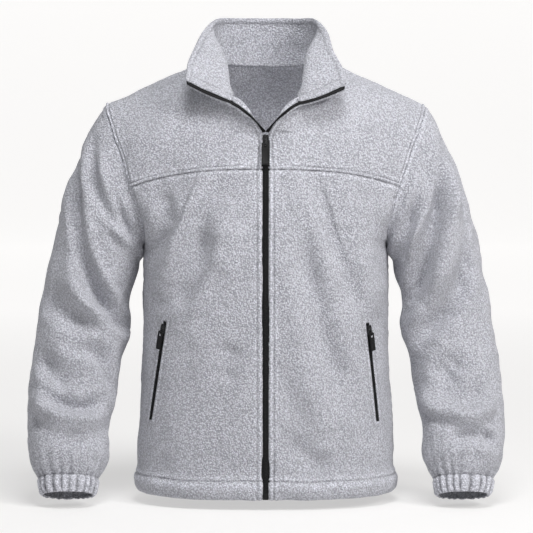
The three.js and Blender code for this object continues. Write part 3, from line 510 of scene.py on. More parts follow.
def body_creases(points, side):
    table = FRONT_CREASES if side < 0 else BACK_CREASES
    x, z = points[..., 0], points[..., 2]
    made = creases(x, z, table)
    turn = np.arccos(np.minimum(1, np.abs(x) / half_at(z)))
    return made * np.clip(turn / 0.3, 0, 1) * np.clip((-150 - z) / 60, 0, 1)


print(len(FRONT_CREASES), "creases on the fronts and", len(BACK_CREASES), "on the back")

# %% [markdown]
# ## From a net to a wall of cloth
# A sheet of cloth has two faces and soft rounded edges. Solidify would leave square rims, so
# the wall is built directly: the outer face, the inner face behind it, and a half round along
# every free edge. Sewing draws the cloth in along a seam and lets it puff up beside it, and a
# second row of stitches holds a flat raised band. That relief is a function of how far
# a point is from the seam, so each grid also keeps its distances from its four edges.


# %% Grids: normals, distances and walls
def fine_grid(net, row_knots, column_knots, rows, columns):
    """A fine grid through a net. Each row then gets its own knots, by its true lengths."""
    made = smooth_through(net, row_knots, rows)
    share = np.interp(columns, column_knots, np.arange(len(column_knots)))
    lines = []
    for line in made:
        at = np.interp(share, np.arange(len(line)), chords(line))
        lines.append(smooth_through(line, chords(line), at))
    return np.array(lines)


def unit(v):
    return v / np.maximum(np.linalg.norm(v, axis=-1, keepdims=True), 1e-12)


def square_to(way, along):
    """The part of each direction that is square to along, as a unit direction."""
    return unit(way - np.sum(way * along, -1, keepdims=True) * along)


def normals_of(grid, wrap=False, flip=False):
    if wrap:
        across = np.roll(grid, -1, 1) - np.roll(grid, 1, 1)
    else:
        across = np.gradient(grid, axis=1)
    made = unit(np.cross(across, np.gradient(grid, axis=0)))
    return -made if flip else made


def edge_distances(grid):
    """Distance from the low, high, left and right edge, measured along the cloth."""
    up = np.linalg.norm(np.diff(grid, axis=0), axis=-1)
    over = np.linalg.norm(np.diff(grid, axis=1), axis=-1)
    low = np.concatenate([np.zeros((1, grid.shape[1])), np.cumsum(up, 0)])
    left = np.concatenate([np.zeros((grid.shape[0], 1)), np.cumsum(over, 1)], 1)
    return {"low": low, "high": low[-1] - low, "left": left, "right": left[:, -1:] - left}


def pull_edge(grid, edge, target, reach):
    """Moves one edge of a grid onto target, and what lies near it by less and less."""
    fade = np.clip(1 - edge_distances(grid)[edge] / reach, 0, 1)[..., None] ** 2
    if edge in ("low", "high"):
        return grid + (target - grid[0 if edge == "low" else -1])[None] * fade
    return grid + (target - grid[:, 0 if edge == "left" else -1])[:, None] * fade


def hill(d, at, width):
    return np.exp(-(((d - at) / width) ** 2))


def plain_seam(d):
    return -2.0 * hill(d, 0, 1.5) + 0.7 * hill(d, 5, 3)


def stitched_seam(d, stitch):
    band = 2.0 * hill(d, stitch * 0.54, stitch * 0.4)
    return -2.0 * hill(d, 0, 1.2) + band - 1.7 * hill(d, stitch, 1.1) + 0.5 * hill(d, stitch + 3.6, 2.4)


def painted_relief_shade(relief):
    """Painted shade and light: 1, darkest, where thread pulls the cloth in, and -1, lightest, where it
    stands fullest.
    """
    return np.clip(-relief / 1.5, -0.8, 1)


def mesh_piece(name, points, faces, material):
    mesh = bpy.data.meshes.new(name)
    mesh.from_pydata((np.asarray(points, float) * MM).tolist(), [], faces)
    mesh.polygons.foreach_set("use_smooth", [True] * len(mesh.polygons))
    mesh.materials.append(material)
    mesh.validate()
    made = bpy.data.objects.new(name, mesh)
    bpy.context.scene.collection.objects.link(made)
    return made


# the rows of a rounded rim: how far each stands out, and how far to the outer side
RIM = [0.7, 1.0, 0.7]
RIM_SIDE = [0.7, 0.0, -0.7]
RIM_ROWS = len(RIM)


def cloth_wall(name, outer, normal, thick, material, wrap=False, flip=False, painted_shade_and_light=None):
    """A closed wall with rounded rims: outer face, rims and inner face in one grid."""
    thick = np.broadcast_to(np.asarray(thick, float), outer.shape[:2])[..., None]
    inner = outer - normal * thick

    def rim(a, b, beyond):
        out = square_to(unit(a - beyond), unit(a - b))
        radius = np.linalg.norm(a - b, axis=-1, keepdims=True) / 2
        middle = (a + b) / 2
        return [middle + out * radius * k + unit(a - b) * radius * s for k, s in zip(RIM, RIM_SIDE)]

    ring = list(outer) + rim(outer[-1], inner[-1], outer[-2]) + list(inner[::-1])
    ring += rim(outer[0], inner[0], outer[1])[::-1]
    sheet = np.array(ring)
    count, columns = sheet.shape[:2]
    points = [sheet.reshape(-1, 3)]
    faces = []
    last = columns if wrap else columns - 1
    for i in range(count):
        i2 = (i + 1) % count
        for j in range(last):
            j2 = (j + 1) % columns
            faces.append((i * columns + j, i * columns + j2, i2 * columns + j2, i2 * columns + j))
    if not wrap:
        nr = len(outer)
        start = count * columns
        for column, beyond in ((0, 1), (-1, -2)):
            a, b = outer[:, column], inner[:, column]
            rims = rim(a, b, outer[:, beyond])
            points += [np.array(r) for r in rims]
            at = column % columns
            front = [i * columns + at for i in range(nr)]
            rear = [(nr + RIM_ROWS + nr - 1 - i) * columns + at for i in range(nr)]
            lines = [front] + [[start + k * nr + i for i in range(nr)] for k in range(RIM_ROWS)] + [rear]
            start += RIM_ROWS * nr
            for a_line, b_line in zip(lines[:-1], lines[1:]):
                for i in range(nr - 1):
                    quad = (a_line[i], a_line[i + 1], b_line[i + 1], b_line[i])
                    faces.append(quad if column == 0 else quad[::-1])
            ends = [(nr - 1, range(nr, nr + RIM_ROWS)), (0, range(count - 1, count - 1 - RIM_ROWS, -1))]
            for i, rim_rows in ends:
                corner = [line[i] for line in lines]
                other = [row * columns + at for row in rim_rows]
                cap = corner + other[::-1]
                keep = (column == 0) == (i == 0)
                faces.append(tuple(cap[::-1] if keep else cap))
    if flip:
        faces = [f[::-1] for f in faces]
    made = mesh_piece(name, np.concatenate(points), faces, material)
    values = np.zeros(len(made.data.vertices), np.float32)
    # painted shade and light for the fleece colour: the mask goes on the outer face, and more faintly on
    # the inner face
    if painted_shade_and_light is not None:
        rows = len(outer)
        values[:rows * columns] = painted_shade_and_light.ravel()
        start = (rows + RIM_ROWS) * columns
        values[start:start + rows * columns] = 0.7 * painted_shade_and_light[::-1].ravel()
    made.data.attributes.new("painted_shade_and_light", "FLOAT", "POINT").data.foreach_set("value", values)
    print(name, "has", sum(len(p.vertices) - 2 for p in made.data.polygons), "triangles")
    return made


# %% [markdown]
# ## The fleece itself
# Fleece is a knit whose face is brushed up and then tumbled, so it has a short pile in soft
# pebbles a few millimetres wide, with fine fibres between them. Its colour is flecked, because
# the pile shades itself. The pebbles come from a cell pattern and the fibres from fine noise,
# both through a bump, and a sheen gives the pale bloom at the edges. Everything reads Object
# coordinates, so the pile has the same size on each piece and does not stretch.


# %% The fleece material
def fleece_material(name, dark, light):
    made, nodes, links, shader = new_material(name)
    place = nodes.new("ShaderNodeTexCoord")
    pebbles = nodes.new("ShaderNodeTexVoronoi")
    pebbles.feature = "SMOOTH_F1"
    set_inputs(pebbles, {"Scale": 380, "Smoothness": 0.6})
    fibres = set_inputs(nodes.new("ShaderNodeTexNoise"), {"Scale": 950, "Detail": 3})
    tufts = set_inputs(nodes.new("ShaderNodeTexNoise"), {"Scale": 430, "Detail": 2})
    patches = set_inputs(nodes.new("ShaderNodeTexNoise"), {"Scale": 24, "Detail": 3})
    for texture in (pebbles, fibres, tufts, patches):
        link(links, place, "Object", texture, "Vector")

    def mixed(factor, a, b):
        mix = set_inputs(nodes.new("ShaderNodeMix"), {"Factor": factor})
        links.new(a, mix.inputs["A"])
        links.new(b, mix.inputs["B"])
        return mix.outputs["Result"]

    flecks = mixed(0.6, fibres.outputs["Fac"], tufts.outputs["Fac"])
    pile = set_inputs(nodes.new("ShaderNodeMath"), {1: -0.55})
    pile.operation = "MULTIPLY_ADD"
    links.new(pebbles.outputs["Distance"], pile.inputs[0])
    links.new(flecks, pile.inputs[2])
    shade = set_inputs(nodes.new("ShaderNodeMath"), {1: 0.2})
    links.new(pile.outputs[0], shade.inputs[0])
    broad = mixed(0.12, shade.outputs[0], patches.outputs["Fac"])
    ramp = two_colours(nodes, 0.36, dark, 0.6, light)
    links.new(broad, ramp.inputs["Fac"])
    # painted shade: the colour is darkened to 0.58 times where the mask is 1, in seam grooves and stitch
    # lines, and painted light makes it up to 1.4 times paler where the mask is -1, on puffed cloth
    painted_shade_and_light = nodes.new("ShaderNodeAttribute")
    painted_shade_and_light.attribute_name = "painted_shade_and_light"
    painted_shade_scale = set_inputs(nodes.new("ShaderNodeMapRange"), {"From Min": -1, "To Min": 1.4, "To Max": 0.58})
    link(links, painted_shade_and_light, "Fac", painted_shade_scale, "Value")
    colour = nodes.new("ShaderNodeVectorMath")
    colour.operation = "SCALE"
    link(links, ramp, "Color", colour, 0)
    link(links, painted_shade_scale, "Result", colour, "Scale")
    link(links, colour, "Vector", shader, "Base Color")
    bump = set_inputs(nodes.new("ShaderNodeBump"), {"Strength": 1, "Distance": 0.0038})
    link(links, pile, 0, bump, "Height")
    link(links, bump, "Normal", shader, "Normal")
    set_inputs(shader, {"Roughness": 0.95, "Specular IOR Level": 0.15, "Sheen Weight": 0.3,
                        "Sheen Roughness": 0.6, "Sheen Tint": (0.95, 0.96, 1, 1)})
    return made


FLEECE = fleece_material("fleece", (0.332, 0.335, 0.372), (0.63, 0.636, 0.695))


# %% The plain materials: thread, zip tape, coil, painted metal and moulded tab
def plain_material(name, dark, light, scale, roughness, bump_mm, shine=0.2, metallic=0.0):
    made, nodes, links, shader = new_material(name)
    place = nodes.new("ShaderNodeTexCoord")
    grain = set_inputs(nodes.new("ShaderNodeTexNoise"), {"Scale": scale, "Detail": 4})
    link(links, place, "Object", grain, "Vector")
    ramp = two_colours(nodes, 0.35, dark, 0.7, light)
    link(links, grain, "Fac", ramp, "Fac")
    link(links, ramp, "Color", shader, "Base Color")
    gloss = set_inputs(nodes.new("ShaderNodeMapRange"),
                       {"To Min": roughness - 0.1, "To Max": roughness + 0.1})
    link(links, grain, "Fac", gloss, "Value")
    link(links, gloss, "Result", shader, "Roughness")
    bump = set_inputs(nodes.new("ShaderNodeBump"), {"Strength": 0.5, "Distance": bump_mm * MM})
    link(links, grain, "Fac", bump, "Height")
    link(links, bump, "Normal", shader, "Normal")
    set_inputs(shader, {"Metallic": metallic, "Specular IOR Level": shine})
    return made


def tape_material():
    made = plain_material("zip_tape", (0.004, 0.004, 0.0045), (0.011, 0.011, 0.012), 900, 0.75, 0.2)
    nodes, links = made.node_tree.nodes, made.node_tree.links
    weave = nodes.new("ShaderNodeTexWave")
    weave.wave_type = "BANDS"
    weave.bands_direction = "Z"
    set_inputs(weave, {"Scale": 420, "Distortion": 1.5})
    link(links, nodes["Texture Coordinate"], "Object", weave, "Vector")
    total = nodes.new("ShaderNodeMath")
    link(links, nodes["Noise Texture"], "Fac", total, 0)
    link(links, weave, "Fac", total, 1)
    link(links, total, "Value", nodes["Bump"], "Height")
    return made


TAPE = tape_material()
COIL = plain_material("zip_coil", (0.005, 0.005, 0.0055), (0.013, 0.013, 0.014), 700, 0.45, 0.1)
METAL = plain_material("painted_metal", (0.01, 0.01, 0.011), (0.024, 0.024, 0.026), 500, 0.26, 0.06,
                       shine=0.5, metallic=0.35)
TAB = plain_material("moulded_tab", (0.006, 0.006, 0.0065), (0.012, 0.012, 0.013), 650, 0.55, 0.12)
THREAD = plain_material("thread", (0.36, 0.363, 0.395), (0.5, 0.505, 0.545), 1500, 0.7, 0.1)
print("materials:", ", ".join(m.name for m in bpy.data.materials))

# %% [markdown]
# ## The fronts, the yokes and the back
# Each front is cut across the chest, and the part above the seam is the yoke. Both come from
# one net, split at the seam, so they meet exactly. The yoke's front edge follows the open
# zip up to the neck. The hem is turned up 30 mm and stitched, so the band bulges a little.

# %% One smooth front edge and one smooth neck seam, shared by every piece that meets there
COLLAR_FULL = np.concatenate([COLLAR, COLLAR[-2::-1] * (-1, 1, 1)])
COLLAR_KNOTS = chords(COLLAR_FULL[:, 0])
v = np.array([0.25, 0.5, 0.75, 1.0])[:, None]
EDGE_POINTS = np.array([FRONT_NET[SEAM_ROW, 0], *[e[0] for e in OPEN_EDGE], COLLAR[0, 0],
                        *bent_through(*COLLAR[0], v)])
EDGE_KNOTS = chords(EDGE_POINTS)
POCKET_COLUMN = 0.64


def net_index(t):
    return np.interp(t, ROW_KNOTS, np.arange(len(ROW_KNOTS)))


def front_edge_target(grid, rows):
    """Where the yoke's inner edge lies: up the open zip, then round the neck."""
    target = grid[:, 0].copy()
    index = net_index(rows) - SEAM_ROW
    opening = (index > 0) & (index <= 4)
    at = np.interp(index[opening], np.arange(5), EDGE_KNOTS[:5])
    target[opening] = smooth_through(EDGE_POINTS, EDGE_KNOTS, at)
    neck = index > 4
    at = np.interp(index[neck] - 4, np.arange(10), COLLAR_KNOTS[:10])
    target[neck] = smooth_through(COLLAR_FULL[:, 0], COLLAR_KNOTS, at)
    return target


column_knots = chords(FRONT_NET[SEAM_ROW])
pocket_at = float(np.interp(POCKET_COLUMN, FRONT_COLUMNS, column_knots))
lower_length = ROW_KNOTS[SEAM_ROW]
yoke_length = ROW_KNOTS[-1] - lower_length
LOWER_T = graded(lower_length, 1.3 * QUICK, 3 * QUICK, [(0, 2), (31, 3), (lower_length, 9)])
YOKE_T = lower_length + graded(yoke_length, 1.3 * QUICK, 2.6 * QUICK, [(0, 9), (yoke_length, 5)])
BODY_T = np.concatenate([LOWER_T, YOKE_T[1:]])
FRONT_T = graded(column_knots[-1], 1.3 * QUICK, 3 * QUICK,
                 [(0, 17), (pocket_at, 25), (column_knots[-1], 9)])
FRONT_BASE = fine_grid(FRONT_NET, ROW_KNOTS, column_knots, BODY_T, FRONT_T)
FRONT_BASE = pull_edge(FRONT_BASE, "left", front_edge_target(FRONT_BASE, BODY_T), 30)
SPLIT = len(LOWER_T) - 1
print("front grid:", FRONT_BASE.shape[:2], "points, split at row", SPLIT)

# %% Relief of the fronts: seams, hem, zip edge and pocket
STITCH_YOKE, STITCH_ARM, STITCH_ZIP, STITCH_OPEN, STITCH_CUFF = 5.5, 6.5, 7.8, 13.6, 9
HEM_LINE = 31
FLEECE_THICK, HEM_THICKER, CUFF_THICK = 2.2, 0.8, 2.4
# top and bottom of each pocket zip, in x and z
POCKETS = {"left": ((160, -411), (177, -568)), "right": ((-158, -409), (-182, -566))}
POCKET_HALF, FRONT_TURN, WELT_STITCH = 2.7, 1.22, 6.4


def zip_side(d, stitch):
    return (-0.5 * hill(d, 0, 1.2) + 1.3 * hill(d, 3, 1.9) - 1.0 * hill(d, stitch, 1.0)
            + 0.5 * hill(d, stitch + 3.4, 2.4))


def pocket_frame(side):
    top, bottom = (np.array(p, float) for p in POCKETS[side])
    along = (top - bottom) / np.linalg.norm(top - bottom)
    return (top + bottom) / 2, along, np.linalg.norm(top - bottom) / 2


def pocket_relief(grid, side):
    middle, along, half = pocket_frame(side)
    place = grid[..., [0, 2]] - middle
    down, across = np.abs(place @ along), np.abs(place @ np.array([along[1], -along[0]]))
    # the front turns away here, so a millimetre across in x is more of the cloth
    across = across * FRONT_TURN
    outside = np.maximum(across - POCKET_HALF, down - half - 1)
    slot = np.clip(0.5 - outside / 1.6, 0, 1)
    welt = 0.9 * hill(outside, 1.7, 1.2) - 0.6 * hill(outside, WELT_STITCH, 1.3)
    welt += 0.3 * hill(outside, 4.2, 1.4)
    return welt - 1.3 * slot * slot * (3 - 2 * slot)


def body_relief(grid, distances, side):
    """Sewing relief shared by the fronts and the back."""
    low = distances["low"]
    arm = np.clip((grid[..., 2] - UNDERARM_Z) / 8 + 0.5, 0, 1)
    made = np.zeros(low.shape)
    # a front has an armhole on one side only, the back on both
    for edge in ("right",) if side < 0 else ("right", "left"):
        far = distances[edge]
        made += arm * stitched_seam(far, STITCH_ARM) + (1 - arm) * plain_seam(far)
    hem = -1.4 * hill(low, HEM_LINE, 1.2) + 0.9 * hill(low, 23, 5) + 0.5 * hill(low, HEM_LINE + 4, 3)
    return made + hem


def hem_thicker(low):
    """How much thicker the cloth is where the hem is turned up."""
    return HEM_THICKER * np.clip((HEM_LINE - low) / 2, 0, 1)


def front_grids(side):
    sign = 1 if side == "left" else -1
    base = FRONT_BASE * (sign, 1, 1)
    flip = sign < 0
    normal = normals_of(base, flip=flip)
    soft = body_creases(base, -1) + 0.7 * ripple(base, 95, 3) + 0.4 * ripple(base, 38, 5)
    soft *= np.clip(edge_distances(base)["left"] / 14, 0.25, 1)
    folded = base + normal * soft[..., None]
    normal = normals_of(folded, flip=flip)
    return folded, normal


def front_relief(folded, side):
    distances = edge_distances(folded)
    index = net_index(BODY_T)[:, None]
    pucker = 1 + 0.3 * ripple(folded, 9, 11)
    made = body_relief(folded, distances, -1) * pucker
    neck = np.clip((index - SEAM_ROW - 3.7) / 0.6, 0, 1)
    opening = np.clip((index - SEAM_ROW - 1) / 2, 0, 1)
    left = distances["left"]
    edge = zip_side(left, STITCH_ZIP) * (1 - opening) + zip_side(left, STITCH_OPEN) * opening
    made += (edge * (1 - neck) + plain_seam(left) * neck) * pucker
    lower, upper = made[:SPLIT + 1].copy(), made[SPLIT:].copy()
    seam = distances["low"][SPLIT]
    below, above = seam - distances["low"][:SPLIT + 1], distances["low"][SPLIT:] - seam
    lower += plain_seam(below) * pucker[:SPLIT + 1] + pocket_relief(folded[:SPLIT + 1], side)
    upper += stitched_seam(above, STITCH_YOKE) * pucker[SPLIT:]
    upper += plain_seam(distances["high"][SPLIT:])
    return lower, upper


# %% Build the fronts and yokes
panels = {}


def add_panel(name, outer, normal, thick, painted_shade_and_light, **kind):
    """Builds a panel's wall, and keeps its outer face for the seams and stitches on it."""
    piece = cloth_wall(name + "_cloth", outer, normal, thick, FLEECE, painted_shade_and_light=painted_shade_and_light, **kind)
    panels[name] = {"piece": piece, "grid": outer, "normal": normal}


for side in ("left", "right"):
    folded, normal = front_grids(side)
    lower, upper = front_relief(folded, side)
    flip = side == "right"
    parts = (("front", slice(0, SPLIT + 1), lower), ("yoke", slice(SPLIT, None), upper))
    for part, rows, relief in parts:
        grid, out = folded[rows], normal[rows]
        outer = grid + out * relief[..., None]
        thick = FLEECE_THICK
        if part == "front":
            thick += hem_thicker(edge_distances(grid)["low"])
        # the sewing relief also paints shade into its grooves and light onto its puffed bands
        add_panel(part + "_" + side, outer, out, thick, painted_relief_shade(relief), flip=flip)

# %% Build the back in the same way
back_knots = chords(BACK_NET[SEAM_ROW])
BACK_T = graded(back_knots[-1], 1.4 * QUICK, 3.6 * QUICK, [(0, 9), (back_knots[-1], 9)])
back_base = fine_grid(BACK_NET, ROW_KNOTS, back_knots, BODY_T, BACK_T)
column_index = np.interp(BACK_T, back_knots, np.arange(len(back_knots)))
across_neck = (column_index >= 6) & (column_index <= 14)
top = back_base[-1].copy()
at = np.interp(column_index[across_neck] - 6 + 5, np.arange(19), COLLAR_KNOTS)
top[across_neck] = smooth_through(COLLAR_FULL[:, 0], COLLAR_KNOTS, at)
back_base = pull_edge(back_base, "high", top, 30)
normal = normals_of(back_base)
soft = body_creases(back_base, 1) + 0.7 * ripple(back_base, 95, 7) + 0.4 * ripple(back_base, 38, 9)
back_folded = back_base + normal * soft[..., None]
back_normal = normals_of(back_folded)
distances = edge_distances(back_folded)
pucker = 1 + 0.3 * ripple(back_folded, 9, 13)
relief = body_relief(back_folded, distances, 1) * pucker + plain_seam(distances["high"]) * pucker
back_outer = back_folded + back_normal * relief[..., None]
thick = FLEECE_THICK + hem_thicker(distances["low"])
# the sewing relief also paints shade into its grooves and light onto its puffed bands
add_panel("back", back_outer, back_normal, thick, painted_relief_shade(relief))

# %% [markdown]
# ## Sleeves
# A sleeve is a tube whose sections grow smaller down the arm, and its head follows the
# armhole. The arm hangs a little forward, so the sections tilt and move towards the front.
# The deepest creases of the jacket are here: at the front of the armpit, at the elbow, and
# where the sleeve puffs out above its cuff.

# %% Sections of the arm
# length, outer x and z, inner x and z, half depth, centre y, tilt in degrees
ARM = [
    (0, 254, -70.5, 195, -290, 74, 0, 0), (20, 273, -99, 194.5, -300, 73, 0, 0),
    (44, 288, -133, 196, -310, 72, 1, 0), (72, 305.5, -174, 202, -322, 70, 2, 0),
    (104, 321.7, -222, 205.5, -336, 69, 3, 1), (138, 334, -270, 210, -352, 67, 4, 2),
    (174, 344.2, -318, 216.3, -374, 66, 4, 3), (208, 354.4, -366, 219.3, -394.5, 65, 3, 5),
    (235, 360.4, -398, 217.3, -414.5, 64, 1, 7), (268, 367.3, -438, 220.2, -440, 62, -4, 10),
    (308, 372.9, -477.5, 230.9, -477.5, 60, -12, 14),
    (348, 377.3, -516.5, 237.5, -514.5, 58, -23, 17), (388, 378.5, -555, 244.1, -553, 57, -35, 18),
    (429, 378.8, -593.7, 250.5, -593.7, 57, -48, 18), (461, 377.2, -624.4, 250.1, -624.4, 55, -58, 18),
    (482, 369.9, -644.6, 256.8, -644.6, 48, -64, 18), (498, 359.7, -659.9, 266.5, -659.9, 40, -69, 18),
    (508, 359.5, -668, 266.7, -668, 41, -72, 18), (519, 358, -678, 268, -678, 40, -75, 18),
    (527, 353.2, -685, 272.1, -685, 37, -78, 18)]
ARM_POWER, HEAD_BLEND, HALF_ROUND, CUFF_TOP, CUFF_END = 0.909, 70, 215, 498, 527
GATHERS, GATHER_DEPTH = 21, 2.4


def section_share(z):
    """How far round a section a point at height z of the armhole is, from 0 to 1."""
    a = (z + SHOULDER_DROP) / (UNDERARM_Z + SHOULDER_DROP)
    c = np.clip(1 - 2 * a, -1, 1)
    return np.arccos(np.sign(c) * np.abs(c) ** (1 / ARM_POWER)) / math.pi


def arm_section(s, way):
    """Points of the plain arm: s along it, way round it from 0 at the outer line to 2."""
    s, way = np.broadcast_arrays(np.asarray(s, float), np.asarray(way, float))
    ox, oz, ix, iz, deep, y, tilt = np.moveaxis(steady_through(ARM, s), -1, 0)
    power = lambda v: np.sign(v) * np.abs(v) ** ARM_POWER
    c, d = power(np.cos(way * math.pi)), power(np.sin(way * math.pi)) * deep
    tilt = np.radians(tilt)
    return np.stack([(ox + ix) / 2 + (ox - ix) / 2 * c, y - d * np.cos(tilt),
                     (oz + iz) / 2 + (oz - iz) / 2 * c + d * np.sin(tilt)], -1)


ARM_NET_ROWS = list(range(SEAM_ROW + YOKE_ROWS, LOWER_ROWS.index(UNDERARM_Z) - 1, -1))
HOLE_Z = FRONT_NET[ARM_NET_ROWS, -1, 2]
HOLE_SHARES = section_share(HOLE_Z)
SLEEVE_WAYS = np.arange(0, 2, 2 / round(2 * HALF_ROUND / (2.7 * QUICK)))


def round_armhole(front_edge, back_edge):
    """The armhole's line at each of the sleeve's columns, from the body's two edges."""
    forward = SLEEVE_WAYS <= 1
    share = np.where(forward, SLEEVE_WAYS, 2 - SLEEVE_WAYS)
    row = np.interp(share, HOLE_SHARES, np.array(ARM_NET_ROWS, float))
    t = np.interp(row, np.arange(len(ROW_KNOTS)), ROW_KNOTS)
    return np.where(forward[:, None], read_at(t, BODY_T, front_edge), read_at(t, BODY_T, back_edge))


print("each sleeve has", len(SLEEVE_WAYS), "columns round it")

# %% Creases of the sleeves: depth, width, and points by share round and mm along
SLEEVE_CREASES = {
    "right": [
        (-5, 12, [(0.24, 39), (0.45, 60), (0.69, 40)]),
        (-7, 15, [(0.1, 72), (0.31, 103), (0.45, 150), (0.59, 200), (0.72, 239), (0.92, 252)]),
        (-4, 15, [(0.15, 217), (0.39, 241), (0.52, 261)]),
        (-4, 15, [(0.2, 307), (0.38, 343), (0.5, 365)]),
        (-4, 13, [(0.46, 292), (0.64, 307), (0.86, 362)]),
        (-4, 11, [(0.39, 386), (0.55, 396), (0.74, 390)]),
        (6, 13, [(0.24, 376), (0.39, 402), (0.55, 415), (0.8, 406)]),
        (4, 11, [(0.3, 34), (0.52, 52), (0.7, 62)]),
        (4, 13, [(0.13, 48), (0.37, 91), (0.51, 140), (0.74, 191)]),
        (5, 13, [(0.36, 174), (0.48, 207), (0.73, 243)]),
        (-5, 16, [(1.9, 60), (1.65, 120), (1.4, 190), (1.15, 235)]),
        (5, 15, [(1.85, 120), (1.6, 180), (1.3, 240)]),
        (-6, 15, [(1.8, 330), (1.5, 380), (1.2, 370)]),
        (6, 13, [(1.8, 395), (1.5, 415), (1.2, 400)]),
        (1.2, 17, [(0.82, 36), (1.0, 30), (1.16, 40)])],
    "left": [
        (-5, 11, [(0.34, 30), (0.47, 50), (0.62, 50)]),
        (-7, 14, [(0.33, 61), (0.47, 90), (0.62, 145), (0.78, 188)]),
        (-7, 15, [(0.3, 176), (0.41, 202), (0.56, 245), (0.75, 278)]),
        (4, 11, [(0.41, 40), (0.66, 84)]),
        (6, 15, [(0.21, 67), (0.4, 122), (0.58, 201)]),
        (-5, 15, [(0.48, 325), (0.57, 335), (0.57, 361)]),
        (6, 13, [(0.83, 384), (0.59, 406), (0.46, 410), (0.28, 392)]),
        (-4, 10, [(0.61, 447), (0.47, 436), (0.25, 447)]),
        (-5, 16, [(1.85, 90), (1.6, 150), (1.35, 210), (1.15, 240)]),
        (5, 15, [(1.9, 150), (1.65, 205), (1.35, 260)]),
        (-6, 15, [(1.75, 340), (1.45, 375), (1.2, 365)]),
        (6, 13, [(1.75, 400), (1.5, 418), (1.25, 405)]),
        (1.2, 15, [(0.84, 30), (1.0, 26), (1.14, 34)])]}


def gather_reach(way, seed):
    """How far each gather runs up the sleeve, uneven from one to the next."""
    draw = np.random.default_rng(seed)
    reach = draw.uniform(12, 46, GATHERS)
    return np.interp((way / 2 * GATHERS) % GATHERS, np.arange(GATHERS + 1), np.append(reach, reach[0]))


def gather_wave(way, seed):
    sway = 0.35 * np.sin(way * math.pi * 3 + seed) + 0.25 * np.sin(way * math.pi * 7 + 2 * seed)
    return np.abs(np.cos((way / 2 * GATHERS + sway * 0.5) * math.pi)) ** 0.9 * 2 - 1


# %% Build the sleeves
SLEEVE_S = graded(CUFF_TOP, 1.6 * QUICK, 3 * QUICK, [(0, 7), (CUFF_TOP, 26)])
for number, side in enumerate(("left", "right")):
    sign, flip = (1, False) if side == "left" else (-1, True)
    hole = round_armhole(FRONT_BASE[:, -1], back_base[:, 0])
    s, way = SLEEVE_S[:, None], SLEEVE_WAYS[None]
    base = arm_section(s, way)
    fade = np.clip(1 - s / HEAD_BLEND, 0, 1)[..., None] ** 1.5
    base = base + (hole - arm_section(0, SLEEVE_WAYS))[None] * fade
    base = base * (sign, 1, 1)
    normal = normals_of(base, wrap=True, flip=flip)
    ways, along = np.broadcast_arrays(way, s)
    table = [(deep, wide, [(share * HALF_ROUND, far) for share, far in points])
             for deep, wide, points in SLEEVE_CREASES[side]]
    made = ARM_CREASE_DEPTH * sum(creases((ways + turn) * HALF_ROUND, along, table)
                                  for turn in (-2, 0, 2))
    made = made + 0.9 * ripple(base, 80, 21 + number) + 0.5 * ripple(base, 34, 31 + number)
    made *= np.clip(s / 30, 0, 1) * np.clip((CUFF_TOP - s) / 30, 0, 1)
    reach = gather_reach(ways, number)
    near_cuff = np.exp(-(CUFF_TOP - along) / reach) * np.clip((along - 380) / 60, 0, 1)
    made += GATHER_DEPTH * gather_wave(ways, number) * near_cuff
    folded = base + normal * made[..., None]
    normal = normals_of(folded, wrap=True, flip=flip)
    distances = edge_distances(folded)
    pucker = 1 + 0.3 * ripple(folded, 9, 41 + number)
    relief = plain_seam(distances["low"]) * pucker - 1.2 * hill(distances["high"], 0, 1.6)
    outer = folded + normal * relief[..., None]
    # the sleeve's head is drawn onto the finished armhole, so that the seam is closed
    front, yoke = panels["front_" + side]["grid"], panels["yoke_" + side]["grid"]
    front_edge = np.concatenate([front[:-1, -1], yoke[:, -1]])
    back_edge = panels["back"]["grid"][:, 0 if side == "left" else -1]
    outer = pull_edge(outer, "low", round_armhole(front_edge, back_edge), 14)
    # the seam relief also paints shade into the sleeve's seam grooves
    add_panel("sleeve_" + side, outer, normal, FLEECE_THICK, painted_relief_shade(relief), wrap=True, flip=flip)

# %% [markdown]
# ## Cuffs
# Each cuff is a short band drawn in by elastic, so its cloth stands in rounded gathers with
# narrow valleys between them. The gathers go on a little way up the sleeve.

# %% Build the cuffs
CUFF_S = np.linspace(CUFF_TOP, CUFF_END, 22)
CUFF_WAYS = np.arange(0, 2, 2 / (GATHERS * 14))
for number, side in enumerate(("left", "right")):
    sign, flip = (1, False) if side == "left" else (-1, True)
    s, way = CUFF_S[:, None], CUFF_WAYS[None]
    base = arm_section(s, way) * (sign, 1, 1)
    normal = normals_of(base, wrap=True, flip=flip)
    ways, along = np.broadcast_arrays(way, s)
    depth = np.interp(along, [CUFF_TOP, CUFF_TOP + 5, CUFF_END - 6, CUFF_END], [1.2, 2.3, 2.3, 1.5])
    made = depth * gather_wave(ways, number) + 0.3 * ripple(base, 16, 51 + number)
    made += -1.2 * hill(along, CUFF_TOP, 1.5) + 0.7 * hill(along, CUFF_TOP + 6, 3)
    made += -0.5 * hill(along, CUFF_END - STITCH_CUFF, 1.2) + 0.4 * hill(along, CUFF_END - 3, 3)
    outer = base + normal * made[..., None]
    sleeve_end = panels["sleeve_" + side]["grid"][-1]
    sleeve_end = np.concatenate([sleeve_end, sleeve_end[:1]])
    ring = read_at(CUFF_WAYS, np.append(SLEEVE_WAYS, 2), sleeve_end)
    outer = pull_edge(outer, "low", ring, 6)
    normal = normals_of(outer, wrap=True, flip=flip)
    # the gathers' relief paints shade into their valleys and light onto their ridges
    add_panel("cuff_" + side, outer, normal, CUFF_THICK, painted_relief_shade(made * 0.8), wrap=True, flip=flip)

# %% [markdown]
# ## The collar
# The collar is two layers of fleece, sewn together at the top and turned, so its top edge is
# a soft roll with a row of stitches below it. It is worn open: the back stands up, and the
# front falls outwards in two flaps, with the zip along their front edges.

